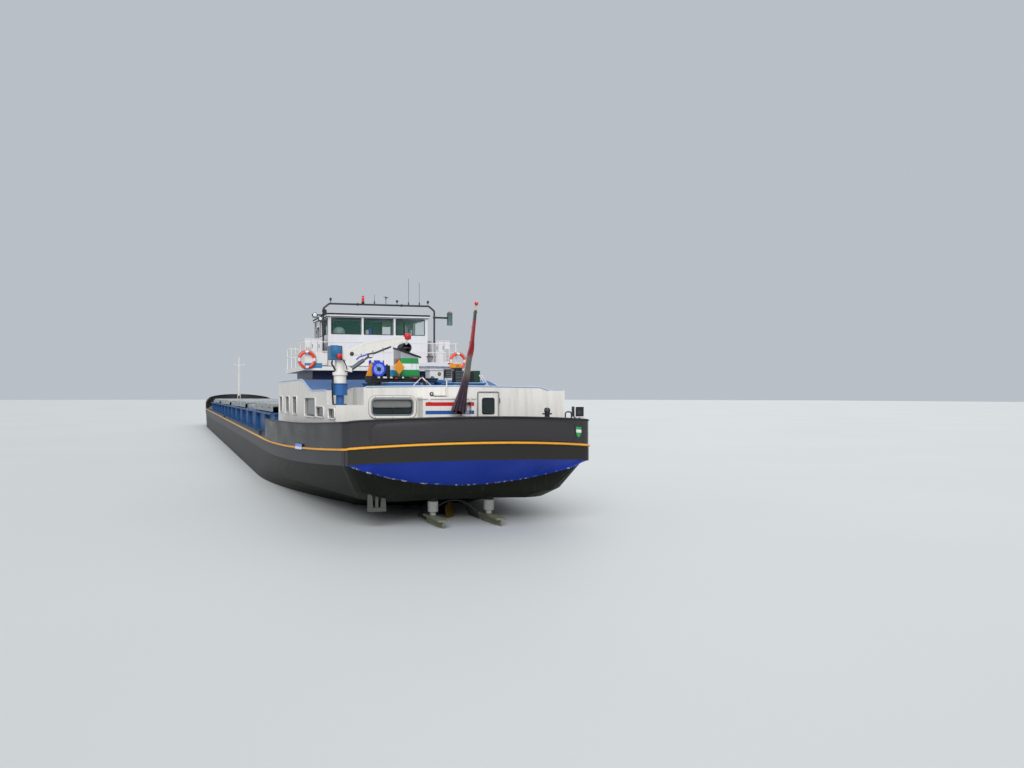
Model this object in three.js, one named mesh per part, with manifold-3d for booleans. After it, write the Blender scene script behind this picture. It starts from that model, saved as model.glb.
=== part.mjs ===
// Inland motor cargo barge, an 86 m by 9.5 m river ship, as a 1:10 scale model.
// Millimetres of the model: 100 mm here is one metre of the ship. +X is the bow, +Y port, +Z up.
// The origin is on the flat bottom, midway between the stern and the stem, on the centreline.
import * as THREE from "three";
import { mergeVertices } from "three/addons/utils/BufferGeometryUtils.js";
import Module from "manifold-3d";

const wasm = await Module();
wasm.setup();

// Driving dimensions. X runs from the stern while the ship is laid out; the group shifts it at the end.
const LENGTH = 8600;
const DRAUGHT = 130;
const BEAM = 950;
const GAP = 0.3;
const CLEAR = 5;

// Hull and deck heights
const BAND = { out: 4, high: 7 };
const STRAKE_OUT = 4;
const SIDE = BEAM / 2 - BAND.out - STRAKE_OUT;
const DECK_MID = DRAUGHT + 200;
const SILL = 12;
const DECK_DROP = 14;
const SHEER_FROM = 6600;
const BULWARK = { aft: 73, corner: 78, side: 92, bow: 104, plate: 3, cap: 9, capHigh: 4, end: 1700 };

// Hold, coaming and hatch covers
const HOLD = { from: 1780, to: 7640, half: 365, floor: 50, wall: 10 };
const COAMING = { top: DRAUGHT + 310, flangeIn: 5, flangeOut: 27, flangeHigh: 8, stays: 13 };
const COVER = { pairs: 4, plate: 5, rib: 9, lowHalf: 372, low: 27, overlap: 20, skirt: 8, skirtOut: 394 };

// Screw, nozzle and rudders
const SHAFT = { z: 101, r: 11 };
const NOZZLE = { aft: 243, fore: 335, outer: 98, inner: 88 };
const SCREW = { x: 286, r: 82, hub: 17, blades: 4 };
const RUDDER = { x: 185, y: 93.5, stock: 9, trunk: 16, trunkEnd: 168, plateTop: 158, foot: 12 };

// Aft house and wheelhouse
const HOUSE = { aft: 240, fore: 1520, half: 390, wall: 10, roofAft: 546, roofFore: 592, wave: [640, 900] };
const UPPER = { aft: 1060, fore: 1580, half: 345, under: 635, top: 655 };
const CABIN = { aft: 1140, fore: 1500, half: 227, chamfer: 50, wall: 8, glassLow: 797, top: 872 };
const CABIN_DOOR = { from: 1330, to: 1400, low: 664, high: 855 };
const ROOF = { over: 8, top: 887 };

const paint = (color, roughness = 0.5, metalness = 0) =>
  new THREE.MeshStandardMaterial({ color, roughness, metalness });

const PAINT = {
  hull: paint(0x3a3a38, 0.45),
  bulwark: paint(0x4d4c4f, 0.35),
  yellow: paint(0xf0b54a, 0.45),
  blue: paint(0x2b4490, 0.5),
  white: paint(0xdcd6cf, 0.5),
  grey: paint(0x8b9094, 0.55),
  aluminium: paint(0xb9bdc0, 0.4, 0.8),
  steel: paint(0x6d7073, 0.5, 0.6),
  bronze: paint(0xa07a40, 0.35, 0.8),
  orange: paint(0xf0431f, 0.5),
  green: paint(0x2fa35c, 0.5),
  winch: paint(0x2a6f93, 0.45),
  reel: paint(0x2446c8, 0.4),
  black: paint(0x191a1c, 0.5),
  glass: paint(0x1c3a45, 0.1),
  engine: paint(0x5d6f66, 0.6),
  cloth: paint(0x7a2a3a, 0.9),
};

// Solids from three.js geometry, and back

function solid(geometry) {
  const bare = new THREE.BufferGeometry();
  const flat = geometry.index ? geometry.toNonIndexed() : geometry;
  bare.setAttribute("position", flat.getAttribute("position"));
  const merged = mergeVertices(bare, 1e-4);
  const made = new wasm.Manifold(
    new wasm.Mesh({
      numProp: 3,
      vertProperties: new Float32Array(merged.attributes.position.array),
      triVerts: new Uint32Array(merged.index.array),
    }),
  );
  return made;
}

function geometryOf(body) {
  const mesh = body.getMesh();
  const positions = [];
  for (let i = 0; i < mesh.numVert; i += 1) {
    const at = i * mesh.numProp;
    positions.push(mesh.vertProperties[at], mesh.vertProperties[at + 1], mesh.vertProperties[at + 2]);
  }
  const geometry = new THREE.BufferGeometry();
  geometry.setAttribute("position", new THREE.Float32BufferAttribute(positions, 3));
  geometry.setIndex(Array.from(mesh.triVerts));
  geometry.computeVertexNormals();
  return geometry;
}

const joined = (...bodies) => bodies.flat().reduce((sum, body) => sum.add(body));

function box([x0, x1], [y0, y1], [z0, z1]) {
  const geometry = new THREE.BoxGeometry(x1 - x0, y1 - y0, z1 - z0);
  geometry.translate((x0 + x1) / 2, (y0 + y1) / 2, (z0 + z1) / 2);
  return solid(geometry);
}

// A flat outline made thick. The outline lies in XY, XZ or YZ and the thickness runs along the third axis.
function prism(plane, points, from, to) {
  const shape = new THREE.Shape(points.map(([a, b]) => new THREE.Vector2(a, b)));
  const geometry = new THREE.ExtrudeGeometry(shape, { depth: to - from, bevelEnabled: false });
  if (plane === "XY") {
    geometry.translate(0, 0, from);
  }
  if (plane === "XZ") {
    geometry.rotateX(Math.PI / 2);
    geometry.translate(0, to, 0);
  }
  if (plane === "YZ") {
    geometry.applyMatrix4(new THREE.Matrix4().set(0, 0, 1, from, 1, 0, 0, 0, 0, 1, 0, 0, 0, 0, 0, 1));
  }
  return solid(geometry);
}

// A round bar between two points, tapered if a second radius is given
function rod(from, to, radius, { end = radius, sides = 12 } = {}) {
  const a = new THREE.Vector3(...from);
  const b = new THREE.Vector3(...to);
  const along = b.clone().sub(a);
  const geometry = new THREE.CylinderGeometry(end, radius, along.length(), sides);
  geometry.applyQuaternion(
    new THREE.Quaternion().setFromUnitVectors(new THREE.Vector3(0, 1, 0), along.clone().normalize()),
  );
  const middle = a.add(b).multiplyScalar(0.5);
  geometry.translate(middle.x, middle.y, middle.z);
  return solid(geometry);
}

// A bent pipe: round bars that run past each other by part of their radius at the bends
function pipe(points, radius, sides = 8) {
  const reach = 0.8 * radius;
  const last = points.length - 2;
  const bars = points.slice(1).map((point, i) => {
    const a = new THREE.Vector3(...points[i]);
    const b = new THREE.Vector3(...point);
    const along = b.clone().sub(a).normalize();
    const from = i === 0 ? a : a.clone().addScaledVector(along, -reach);
    const to = i === last ? b : b.clone().addScaledVector(along, reach);
    return rod(from.toArray(), to.toArray(), radius, { sides });
  });
  return joined(bars);
}

// A turned shape about the line that starts at a point and runs along a direction, faced outwards
function turned(profile, at, along, steps = 32) {
  const geometry = new THREE.LatheGeometry(
    profile.map(([r, h]) => new THREE.Vector2(r, h)),
    steps,
  );
  geometry.applyQuaternion(
    new THREE.Quaternion().setFromUnitVectors(
      new THREE.Vector3(0, 1, 0),
      new THREE.Vector3(...along).normalize(),
    ),
  );
  geometry.translate(...at);
  const made = solid(geometry);
  return made.volume() > 0 ? made : turned(profile.slice().reverse(), at, along, steps);
}

const mirrored = (body) => body.mirror([0, 1, 0]);
const bothSides = (body) => [body, mirrored(body)];

// A piece that stands on another is cut by it, raised by the gap
const standingOn = (piece, carrier) => piece.subtract(carrier.translate([0, 0, GAP]));
const hungUnder = (piece, carrier) => piece.subtract(carrier.translate([0, 0, -GAP]));

// The hull's outline at one level, from the stern's middle round the port side to the stem.
// The stern is an arc with rounded corners, the side widens on a parabola, and the bow is a fullish ellipse.
const OUTLINE = { stern: 7, corner: 5, run: 10, bow: 13 };

function halfOutline({ stern, camber, corner, sternHalf, fullAt, half, bowFrom, stem, full }) {
  const points = [];
  const flat = sternHalf - corner;
  for (let i = 0; i <= OUTLINE.stern; i += 1) {
    const t = i / OUTLINE.stern;
    points.push([stern + camber * t * t, flat * t]);
  }
  const centre = stern + camber + corner;
  for (let i = 1; i <= OUTLINE.corner; i += 1) {
    const angle = ((Math.PI / 2) * i) / OUTLINE.corner;
    points.push([centre - corner * Math.cos(angle), flat + corner * Math.sin(angle)]);
  }
  for (let i = 1; i <= OUTLINE.run; i += 1) {
    const t = i / OUTLINE.run;
    points.push([centre + (fullAt - centre) * t, sternHalf + (half - sternHalf) * (1 - (1 - t) ** 2)]);
  }
  for (let i = 0; i <= OUTLINE.bow; i += 1) {
    const angle = ((Math.PI / 2) * i) / OUTLINE.bow;
    const y = i === OUTLINE.bow ? 0 : half * Math.cos(angle) ** full;
    points.push([bowFrom + (stem - bowFrom) * Math.sin(angle), y]);
  }
  return points;
}

// Both halves as one closed ring
function closedRing(half) {
  const back = half.slice(1, -1).reverse();
  return [...half, ...back.map(([x, y]) => [x, -y])];
}

// A closed ring moved outwards by a distance, with mitred corners
function offsetRing(ring, distance) {
  return ring.map(([x, y], i) => {
    const [px, py] = ring[(i + ring.length - 1) % ring.length];
    const [nx, ny] = ring[(i + 1) % ring.length];
    const before = new THREE.Vector2(x - px, y - py).normalize();
    const after = new THREE.Vector2(nx - x, ny - y).normalize();
    const normal = new THREE.Vector2(-before.y - after.y, before.x + after.x).normalize();
    const mitre = distance / (normal.x * -before.y + normal.y * before.x);
    return [x + normal.x * mitre, y + normal.y * mitre];
  });
}

// The height of a level along the ship: cambered across the stern, falling to midships, rising to the stem
function levelHeight([x, y], { sternZ, cornerZ, midZ, bowZ, corner = [83, 399], fullAt = 1400 }) {
  const [cornerX, cornerY] = corner;
  if (x <= cornerX + 10) {
    const across = Math.min(Math.abs(y) / cornerY, 1);
    return sternZ + (cornerZ - sternZ) * across ** 2;
  }
  const run = Math.min((x - cornerX) / (fullAt - cornerX), 1);
  const rise = Math.max((x - SHEER_FROM) / (LENGTH - SHEER_FROM), 0);
  return midZ + (cornerZ - midZ) * (1 - run) ** 2 + (bowZ - midZ) * rise ** 2;
}

// The hull's levels from the flat bottom up to the knuckle of the counter.
// Columns: stern, corner and mid heights, bow height, stern X, camber, corner radius, stern half width,
// X of the full width, half width, X where the bow starts, X of the stem, fullness of the bow
const LOWER_LEVELS = [
  [0, 0, 0, 0, 950, 60, 60, 150, 2000, 447, 7250, 8080, 1.15],
  [12, 12, 12, 12, 905, 60, 62, 158, 1980, 461, 7270, 8150, 1.1],
  [40, 40, 40, 40, 830, 55, 65, 180, 1900, SIDE, 7300, 8230, 1.08],
  [DRAUGHT, DRAUGHT, DRAUGHT, DRAUGHT, 565, 30, 110, 255, 1720, SIDE, 7400, 8400, 1.02],
  [165, 165, 165, 165, 450, 0, 120, 285, 1640, SIDE, 7430, 8445, 0.99],
  [190, 190, 190, 200, 345, -10, 120, 305, 1580, SIDE, 7460, 8485, 0.96],
  [206, 206, 206, 230, 180, -20, 115, 320, 1540, SIDE, 7480, 8515, 0.94],
  [226, 236, 228, 262, 162, -40, 95, 345, 1500, SIDE, 7510, 8540, 0.91],
  [252, 325, 262, 300, 150, -53, 60, 394, 1420, SIDE, 7540, 8560, 0.9],
];
const STRAKE_LOW = { sternZ: 341, cornerZ: 326, midZ: 275, bowZ: 372 };
const STRAKE_TOP = { sternZ: 395, cornerZ: 376, midZ: DECK_MID, bowZ: 440 };
const PLATING = {
  stern: BAND.out + STRAKE_OUT,
  camber: 75,
  corner: 46,
  sternHalf: 399,
  fullAt: 1400,
  half: SIDE,
  bowFrom: 7600,
  stem: LENGTH - BAND.out - STRAKE_OUT,
  full: 0.86,
};
const PLATING_RING = closedRing(halfOutline(PLATING));
const STRAKE_RING = offsetRing(PLATING_RING, STRAKE_OUT);
const deckEdge = (point) => levelHeight(point, STRAKE_TOP);

function hullRings() {
  const lower = LOWER_LEVELS.map((row) => {
    const [sternZ, cornerZ, midZ, bowZ, stern, camber, corner, sternHalf, fullAt, half, bowFrom, stem, full] =
      row;
    const ring = closedRing(
      halfOutline({ stern, camber, corner, sternHalf, fullAt, half, bowFrom, stem, full }),
    );
    const cornerX = Math.max(stern, stern + camber) + corner / 2;
    const heights = { sternZ, cornerZ, midZ, bowZ, corner: [cornerX, sternHalf], fullAt };
    return ring.map((point) => [...point, levelHeight(point, heights)]);
  });
  const at = (ring, heights, drop = 0) =>
    ring.map((point, i) => [...point, levelHeight(PLATING_RING[i], heights) - drop]);
  return [
    ...lower,
    at(PLATING_RING, STRAKE_LOW),
    at(STRAKE_RING, STRAKE_LOW),
    at(STRAKE_RING, STRAKE_TOP),
    at(offsetRing(STRAKE_RING, -SILL), STRAKE_TOP),
    at(offsetRing(STRAKE_RING, -SILL), STRAKE_TOP, DECK_DROP),
  ];
}

// Level rings skinned into one closed body; the caps run straight across from side to side
function skinned(rings) {
  const count = rings[0].length;
  const half = count / 2;
  const points = rings.flat();
  const faces = [];
  for (let level = 0; level + 1 < rings.length; level += 1) {
    for (let i = 0; i < count; i += 1) {
      const a = level * count + i;
      const b = level * count + ((i + 1) % count);
      faces.push([a, a + count, b], [b, a + count, b + count]);
    }
  }
  const top = (rings.length - 1) * count;
  for (let i = 0; i < half; i += 1) {
    const port = [i, i + 1];
    const starboard = [(count - i) % count, count - i - 1];
    const crossing = [
      [port[0], starboard[0], port[1]],
      [port[1], starboard[0], starboard[1]],
    ].filter((face) => new Set(face).size === 3);
    crossing.forEach(([a, b, c]) => {
      faces.push([top + a, top + b, top + c], [a, c, b]);
    });
  }
  const geometry = new THREE.BufferGeometry();
  geometry.setAttribute("position", new THREE.Float32BufferAttribute(points.flat(), 3));
  geometry.setIndex(faces.flat());
  return solid(geometry);
}

// A section carried along a path in plan. Each section point is [inset from the path, height above it]
function carried(path, insets, section, closed) {
  const rings = path.map((_, i) => section(i).map(([inset, height]) => [...insets(inset)[i], height]));
  const sides = rings[0].length;
  const faces = [];
  const last = closed ? rings.length : rings.length - 1;
  for (let i = 0; i < last; i += 1) {
    const next = ((i + 1) % rings.length) * sides;
    for (let k = 0; k < sides; k += 1) {
      const a = i * sides + k;
      const b = i * sides + ((k + 1) % sides);
      faces.push([a, next + k, b], [b, next + k, next + ((k + 1) % sides)]);
    }
  }
  const geometry = new THREE.BufferGeometry();
  if (!closed) {
    const flat = section(0).map(([a, b]) => new THREE.Vector2(a, b));
    const winding = (corners) => Math.sign(THREE.ShapeUtils.area(corners));
    const ends = THREE.ShapeUtils.triangulateShape(flat, []).map(([a, b, c]) =>
      winding([flat[a], flat[b], flat[c]]) === winding(flat) ? [a, b, c] : [a, c, b],
    );
    const end = (rings.length - 1) * sides;
    ends.forEach(([a, b, c]) => faces.push([a, b, c], [end + a, end + c, end + b]));
  }
  geometry.setAttribute("position", new THREE.Float32BufferAttribute(rings.flat(2), 3));
  geometry.setIndex(faces.flat());
  const made = solid(geometry);
  if (made.volume() > 0) {
    return made;
  }
  geometry.setIndex(faces.map(([a, b, c]) => [a, c, b]).flat());
  return solid(geometry);
}

const root = new THREE.Group();
root.position.set(-LENGTH / 2, 0, 0);

function place(name, body, material) {
  const mesh = new THREE.Mesh(geometryOf(body), material);
  mesh.name = name;
  root.add(mesh);
  return body;
}

// Hull: skinned plating, skeg, shaft boss and rudder trunks, less the hold and the engine room

const ENGINE_ROOM = { x: [700, 1180], half: 190, floor: 40 };
const BITTS = [
  // x, y, radius, height above the deck
  [112, 300, 8, 62],
  [150, 318, 8, 62],
  [1900, 432, 6, 30],
  [1932, 432, 6, 30],
  [4700, 432, 6, 30],
  [4732, 432, 6, 30],
  [7240, 432, 6, 30],
  [7272, 432, 6, 30],
  [8120, 300, 8, 40],
  [8160, 292, 8, 40],
];

function deckHeight(x) {
  return levelHeight([x, BEAM / 2], STRAKE_TOP) - DECK_DROP;
}

function makeHull() {
  const skin = skinned(hullRings());
  const skeg = prism(
    "XZ",
    [
      [352, 88],
      [430, 3],
      [1000, 3],
      [1000, 90],
      [600, 150],
      [420, 215],
      [352, 215],
    ],
    -12,
    12,
  );
  const boss = rod([345, 0, SHAFT.z], [760, 0, SHAFT.z], 24, { end: 30, sides: 20 });
  const trunk = rod(
    [RUDDER.x, RUDDER.y, RUDDER.trunkEnd],
    [RUDDER.x, RUDDER.y, 300],
    RUDDER.trunk,
    { sides: 20 },
  );
  const bitts = BITTS.flatMap(([x, y, r, high]) => {
    const deck = deckHeight(x);
    const mushroom = [
      [0, -12],
      [r, -12],
      [r, high - 7],
      [r + 3, high - 4],
      [r + 2, high],
      [0, high],
    ];
    return bothSides(turned(mushroom, [x, y, deck], [0, 0, 1], 8));
  });
  const hold = box([HOLD.from, HOLD.to], [-HOLD.half, HOLD.half], [HOLD.floor, 600]);
  const engineRoom = box(
    ENGINE_ROOM.x,
    [-ENGINE_ROOM.half, ENGINE_ROOM.half],
    [ENGINE_ROOM.floor, 600],
  );
  return joined(skin, skeg, boss, bothSides(trunk), bitts).subtract(hold).subtract(engineRoom);
}

const hull = place("hull", makeHull(), PAINT.hull);

// Gunwale band: a flat half-round bar along the top of the strake, all round the hull
place(
  "gunwale_band",
  carried(
    STRAKE_RING,
    (inset) => offsetRing(STRAKE_RING, inset),
    (i) => {
      const top = deckEdge(PLATING_RING[i]);
      return [
        [GAP, top - BAND.high],
        [BAND.out, top - BAND.high + 1.5],
        [BAND.out, top - 1.5],
        [GAP, top],
      ];
    },
    true,
  ),
  PAINT.yellow,
);

// Bulwarks: a plate on the sill with a flat cap rail

function bulwark(indices, height, insideBy = 1) {
  const path = indices.map((i) => STRAKE_RING[i]);
  return carried(
    path,
    (inset) => {
      const ring = offsetRing(STRAKE_RING, -inset);
      return indices.map((i) => ring[i]);
    },
    (k) => {
      const point = PLATING_RING[indices[k]];
      const foot = deckEdge(point) + GAP;
      const top = deckEdge(point) + height(point);
      const shoulder = top - BULWARK.capHigh;
      const inner = insideBy + BULWARK.plate;
      return [
        [insideBy, foot],
        [insideBy, shoulder],
        [insideBy - 2, shoulder],
        [insideBy - 2, top],
        [insideBy + BULWARK.cap, top],
        [insideBy + BULWARK.cap, shoulder],
        [inner, shoulder],
        [inner, foot],
      ];
    },
    false,
  );
}

const ringIndices = (keep) => {
  const count = STRAKE_RING.length;
  const indices = PLATING_RING.map((_, i) => i).filter((i) => keep(PLATING_RING[i]));
  const split = indices.findIndex((value, k) => k > 0 && value !== indices[k - 1] + 1);
  return split < 0 ? indices : [...indices.slice(split), ...indices.slice(0, split)].map((i) => i % count);
};

const aftIndices = ringIndices(([x]) => x < BULWARK.end - 200);
const foreIndices = ringIndices(([x]) => x > 7700);

function aftHeight([x]) {
  const { aft, corner, side } = BULWARK;
  if (x < 90) {
    return aft + ((corner - aft) * x) / 90;
  }
  return corner + (side - corner) * Math.min((x - 90) / 900, 1);
}

const foreHeight = ([x]) => 60 + (BULWARK.bow - 60) * Math.min(Math.max((x - 7700) / 500, 0), 1);

place("bulwark_aft", bulwark(aftIndices, aftHeight), PAINT.bulwark);
place("bulwark_fore", bulwark(foreIndices, foreHeight), PAINT.bulwark);

// Name board: a bare raised plate with rounded ends that follows the stern, just outside the bulwark
const BOARD = { half: 327, low: 4, high: 66, round: 24, thick: 1.5, bevel: 1, steps: 24 };

// A point of the transom's outline, moved out along its normal
function sternPoint(y, out) {
  const flat = PLATING.sternHalf - PLATING.corner;
  const slope = (2 * PLATING.camber * y) / flat ** 2;
  const normal = new THREE.Vector2(-1, slope).normalize();
  return [PLATING.stern + PLATING.camber * (y / flat) ** 2 + out * normal.x, y + out * normal.y];
}

function makeBoard() {
  const { half, low, high, round, thick, bevel, steps } = BOARD;
  const across = Array.from({ length: steps + 1 }, (_, i) => half * Math.sin(Math.PI * (0.5 - i / steps)));
  return carried(
    across,
    (inset) => across.map((y) => sternPoint(y, STRAKE_OUT + inset)),
    (i) => {
      const edge = deckEdge([0, across[i]]);
      const past = Math.max(Math.abs(across[i]) - (half - round), 0);
      const drop = round - Math.sqrt(Math.max(round ** 2 - past ** 2, 0)) - 0.01 * past;
      return [
        [-1 + GAP, edge + low + drop],
        [thick, edge + low + bevel + drop],
        [thick, edge + high - bevel - drop],
        [-1 + GAP, edge + high - drop],
      ];
    },
    false,
  );
}

place("name_board", makeBoard(), PAINT.bulwark);

// Hold coaming: a box wall with a flange that the covers run on, and stays down to the side deck

function makeCoaming() {
  const { from, to, half, wall } = HOLD;
  const { top, flangeIn, flangeOut, flangeHigh, stays } = COAMING;
  const outer = box([from - wall, to + wall], [-half - wall, half + wall], [250, top]);
  const flange = box(
    [from - flangeOut, to + flangeOut],
    [-half - flangeOut - 8, half + flangeOut + 8],
    [top - flangeHigh, top],
  );
  const inside = box([from, to], [-half, half], [200, top + 50]);
  const lip = box([from - flangeIn, to + flangeIn], [-half, half], [top - flangeHigh, top + 1]);
  const stay = (x) =>
    prism(
      "YZ",
      [
        [half + wall - 1, 280],
        [half + wall + 26, 280],
        [half + wall + 24, top - flangeHigh + 1],
        [half + wall - 1, top - flangeHigh + 1],
      ],
      x - 3,
      x + 3,
    );
  const pitch = (to - from) / stays;
  const legs = Array.from({ length: stays }, (_, i) => stay(from + (i + 0.5) * pitch));
  const body = joined(outer, flange, legs.flatMap(bothSides)).subtract(inside).subtract(lip);
  return standingOn(body, hull);
}

place("hold_coaming", makeCoaming(), PAINT.blue);

// Hatch covers: low fixed ones, and high ones that roll forward over the next low one

const COVER_PITCH = (HOLD.to - HOLD.from + 2 * HOLD.wall) / (2 * COVER.pairs);

function ribbed(from, to, low, high) {
  const ribs = 6;
  const pitch = (to - from) / ribs;
  const points = [[from, low]];
  for (let i = 0; i < ribs; i += 1) {
    const x = from + i * pitch;
    points.push([x + pitch * 0.1, low], [x + pitch * 0.2, high]);
    points.push([x + pitch * 0.8, high], [x + pitch * 0.9, low]);
  }
  points.push([to, low], [to, low - COVER.plate], [from, low - COVER.plate]);
  return points.reverse();
}

function lowCover(from) {
  const x = [from + COVER.overlap / 2, from + COVER_PITCH - COVER.overlap / 2];
  const top = COAMING.top + COVER.low;
  const foot = COAMING.top + GAP;
  const plate = prism("XZ", ribbed(x[0], x[1], top - COVER.rib, top), -COVER.lowHalf, COVER.lowHalf);
  const frame = box(x, [-COVER.lowHalf, COVER.lowHalf], [foot, top - COVER.rib]);
  const inside = box(
    [x[0] + 6, x[1] - 6],
    [-COVER.lowHalf + 6, COVER.lowHalf - 6],
    [foot - 1, top - COVER.rib - COVER.plate],
  );
  return plate.add(frame).subtract(inside);
}

function highCover(from) {
  const x = [from - COVER.overlap, from + COVER_PITCH + COVER.overlap];
  const under = COAMING.top + COVER.low + CLEAR + 1;
  const low = under + COVER.plate;
  const top = low + COVER.rib;
  const { skirt, skirtOut } = COVER;
  const plate = prism("XZ", ribbed(x[0], x[1], low, top), -skirtOut, skirtOut);
  const side = box(x, [skirtOut - skirt, skirtOut], [COAMING.top + CLEAR + 1, low]);
  const rollers = [x[0] + 40, x[1] - 40].map((at) =>
    rod(
      [at, skirtOut - skirt + 1, COAMING.top + 6.5],
      [at, skirtOut - 1, COAMING.top + 6.5],
      6,
      { sides: 8 },
    ),
  );
  return joined(plate, bothSides(side), rollers.flatMap(bothSides));
}

for (let pair = 0; pair < COVER.pairs; pair += 1) {
  const from = HOLD.from - HOLD.wall + 2 * pair * COVER_PITCH;
  place(`hatch_cover_high_${pair + 1}`, highCover(from), PAINT.aluminium);
  place(`hatch_cover_low_${pair + 1}`, lowCover(from + COVER_PITCH), PAINT.aluminium);
}

// Screw in its nozzle, and the two rudders behind it

function makeScrew() {
  const hub = turned(
    [
      [0, -24],
      [9, -22],
      [SCREW.hub - 2, -8],
      [SCREW.hub, 18],
      [0, 18],
    ],
    [SCREW.x, 0, SHAFT.z],
    [1, 0, 0],
    20,
  );
  const shaft = rod([SCREW.x + 17, 0, SHAFT.z], [344.5, 0, SHAFT.z], SHAFT.r);
  const blade = new THREE.Shape();
  blade.moveTo(-7, 12);
  blade.bezierCurveTo(-26, 34, -34, 66, -20, 77);
  blade.bezierCurveTo(-6, 84, 16, 82, 26, 70);
  blade.bezierCurveTo(30, 50, 16, 30, 9, 12);
  blade.closePath();
  const one = new THREE.ExtrudeGeometry(blade, { depth: 3.5, bevelEnabled: false, curveSegments: 6 });
  one.translate(0, 0, -1.75);
  // Each blade is pitched about its own radial line, then stood round the hub
  const pitched = solid(one)
    .rotate([0, 90, 0])
    .rotate([90, 0, 0])
    .rotate([0, 0, 38]);
  const blades = Array.from({ length: SCREW.blades }, (_, i) =>
    pitched.rotate([(360 * i) / SCREW.blades, 0, 0]).translate([SCREW.x - 3, 0, SHAFT.z]),
  );
  const disc = rod([NOZZLE.aft, 0, SHAFT.z], [NOZZLE.fore, 0, SHAFT.z], SCREW.r, { sides: 48 });
  return joined(hub, shaft, joined(blades).intersect(disc));
}

function makeNozzle() {
  const { aft, fore, outer, inner } = NOZZLE;
  const profile = [
    [inner + 2, aft],
    [inner, (aft + fore) / 2],
    [inner + 3, fore - 8],
    [inner + 6, fore],
    [outer - 1, fore - 2],
    [outer, fore - 20],
    [inner + 5, aft],
    [inner + 2, aft],
  ];
  const ring = turned(profile.map(([r, x]) => [r, x]), [0, 0, SHAFT.z], [1, 0, 0], 32);
  return hungUnder(ring, hull);
}

function makeRudder() {
  const { x, y, stock: radius, trunkEnd, plateTop, foot } = RUDDER;
  const stock = rod([x, y, plateTop - 6], [x, y, trunkEnd - GAP], radius, { sides: 18 });
  const section = new THREE.Shape();
  section.moveTo(47, 0);
  section.bezierCurveTo(46, 10, 20, 13, 0, 11);
  section.bezierCurveTo(-30, 8, -60, 3, -93, 1.5);
  section.lineTo(-93, -1.5);
  section.bezierCurveTo(-60, -3, -30, -8, 0, -11);
  section.bezierCurveTo(20, -13, 46, -10, 47, 0);
  const outline = section.extractPoints(5).shape.map((p) => [p.x + x, p.y + y]);
  const blade = prism("XY", outline.slice(0, -1), foot, plateTop - 8);
  const plate = box([x - 93, x + 47], [y - 16, y + 16], [plateTop - 9, plateTop - 3]);
  const lower = box([x - 93, x + 47], [y - 14, y + 14], [foot - 3, foot + 2]);
  return joined(stock, blade, plate, lower);
}

place("propeller", makeScrew(), PAINT.bronze);
place("nozzle", makeNozzle(), PAINT.grey);
place("rudder_port", makeRudder(), PAINT.hull);
place("rudder_starboard", mirrored(makeRudder()), PAINT.hull);

// Main engine, in the engine room under the aft house
place("engine", box([760, 1100], [-62, 62], [ENGINE_ROOM.floor + GAP, 205]), PAINT.engine);

// Aft house: side profile with its wave, hollow, with windows and the door cut

function houseTop() {
  const { aft, fore, roofAft, roofFore, wave } = HOUSE;
  const points = [[aft, roofAft]];
  const steps = 8;
  for (let i = 0; i <= steps; i += 1) {
    const t = i / steps;
    const rise = t * t * (3 - 2 * t);
    points.push([wave[0] + (wave[1] - wave[0]) * t, roofAft + (roofFore - roofAft) * rise]);
  }
  points.push([fore, roofFore]);
  return points;
}

const HOUSE_WINDOWS = [
  // from x, to x, from z, to z, on both sides
  [258, 350, 458, 486],
  [432, 562, 457, 489],
  [580, 790, 453, 519],
  [981, 1084, 453, 523],
  [1180, 1280, 453, 523],
  [1380, 1470, 453, 523],
];
const REAR_WINDOW = { y: [140, 275], z: [467, 518] };
const HOUSE_DOOR = { y: [-150, -82], z: [380, 538], thick: 5 };

// The aft roof is crowned across, and its port rear corner is cut away for the crane's foot
const CROWN = { x: [240, 735], half: 330, flat: 300, edge: 546, shoulder: 556, middle: 560 };
const NOTCH = { x: 380, y: 302, z: 499 };

const crown = prism(
  "YZ",
  [
    [-CROWN.half, HOUSE.roofAft - HOUSE.wall],
    [CROWN.half, HOUSE.roofAft - HOUSE.wall],
    [CROWN.half, CROWN.edge],
    [CROWN.flat, CROWN.shoulder],
    [0, CROWN.middle],
    [-CROWN.flat, CROWN.shoulder],
    [-CROWN.half, CROWN.edge],
  ],
  ...CROWN.x,
);
const notch = box([HOUSE.aft - 5, NOTCH.x], [NOTCH.y, HOUSE.half + 5], [NOTCH.z, 620]);

const HOUSE_FOOT = 300;
const houseOutline = [[HOUSE.aft, HOUSE_FOOT], [HOUSE.fore, HOUSE_FOOT], ...houseTop().reverse()];
const houseSolid = prism("XZ", houseOutline, -HOUSE.half, HOUSE.half).add(crown).subtract(notch);

// A rectangle with rounded corners, as outline points
function rounded([a0, a1], [b0, b1], radius, steps = 2) {
  const corners = [
    [a1 - radius, b0 + radius, -90],
    [a1 - radius, b1 - radius, 0],
    [a0 + radius, b1 - radius, 90],
    [a0 + radius, b0 + radius, 180],
  ];
  return corners.flatMap(([a, b, start]) =>
    Array.from({ length: steps + 1 }, (_, i) => {
      const angle = ((start + (90 * i) / steps) * Math.PI) / 180;
      return [a + radius * Math.cos(angle), b + radius * Math.sin(angle)];
    }),
  );
}

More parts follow.
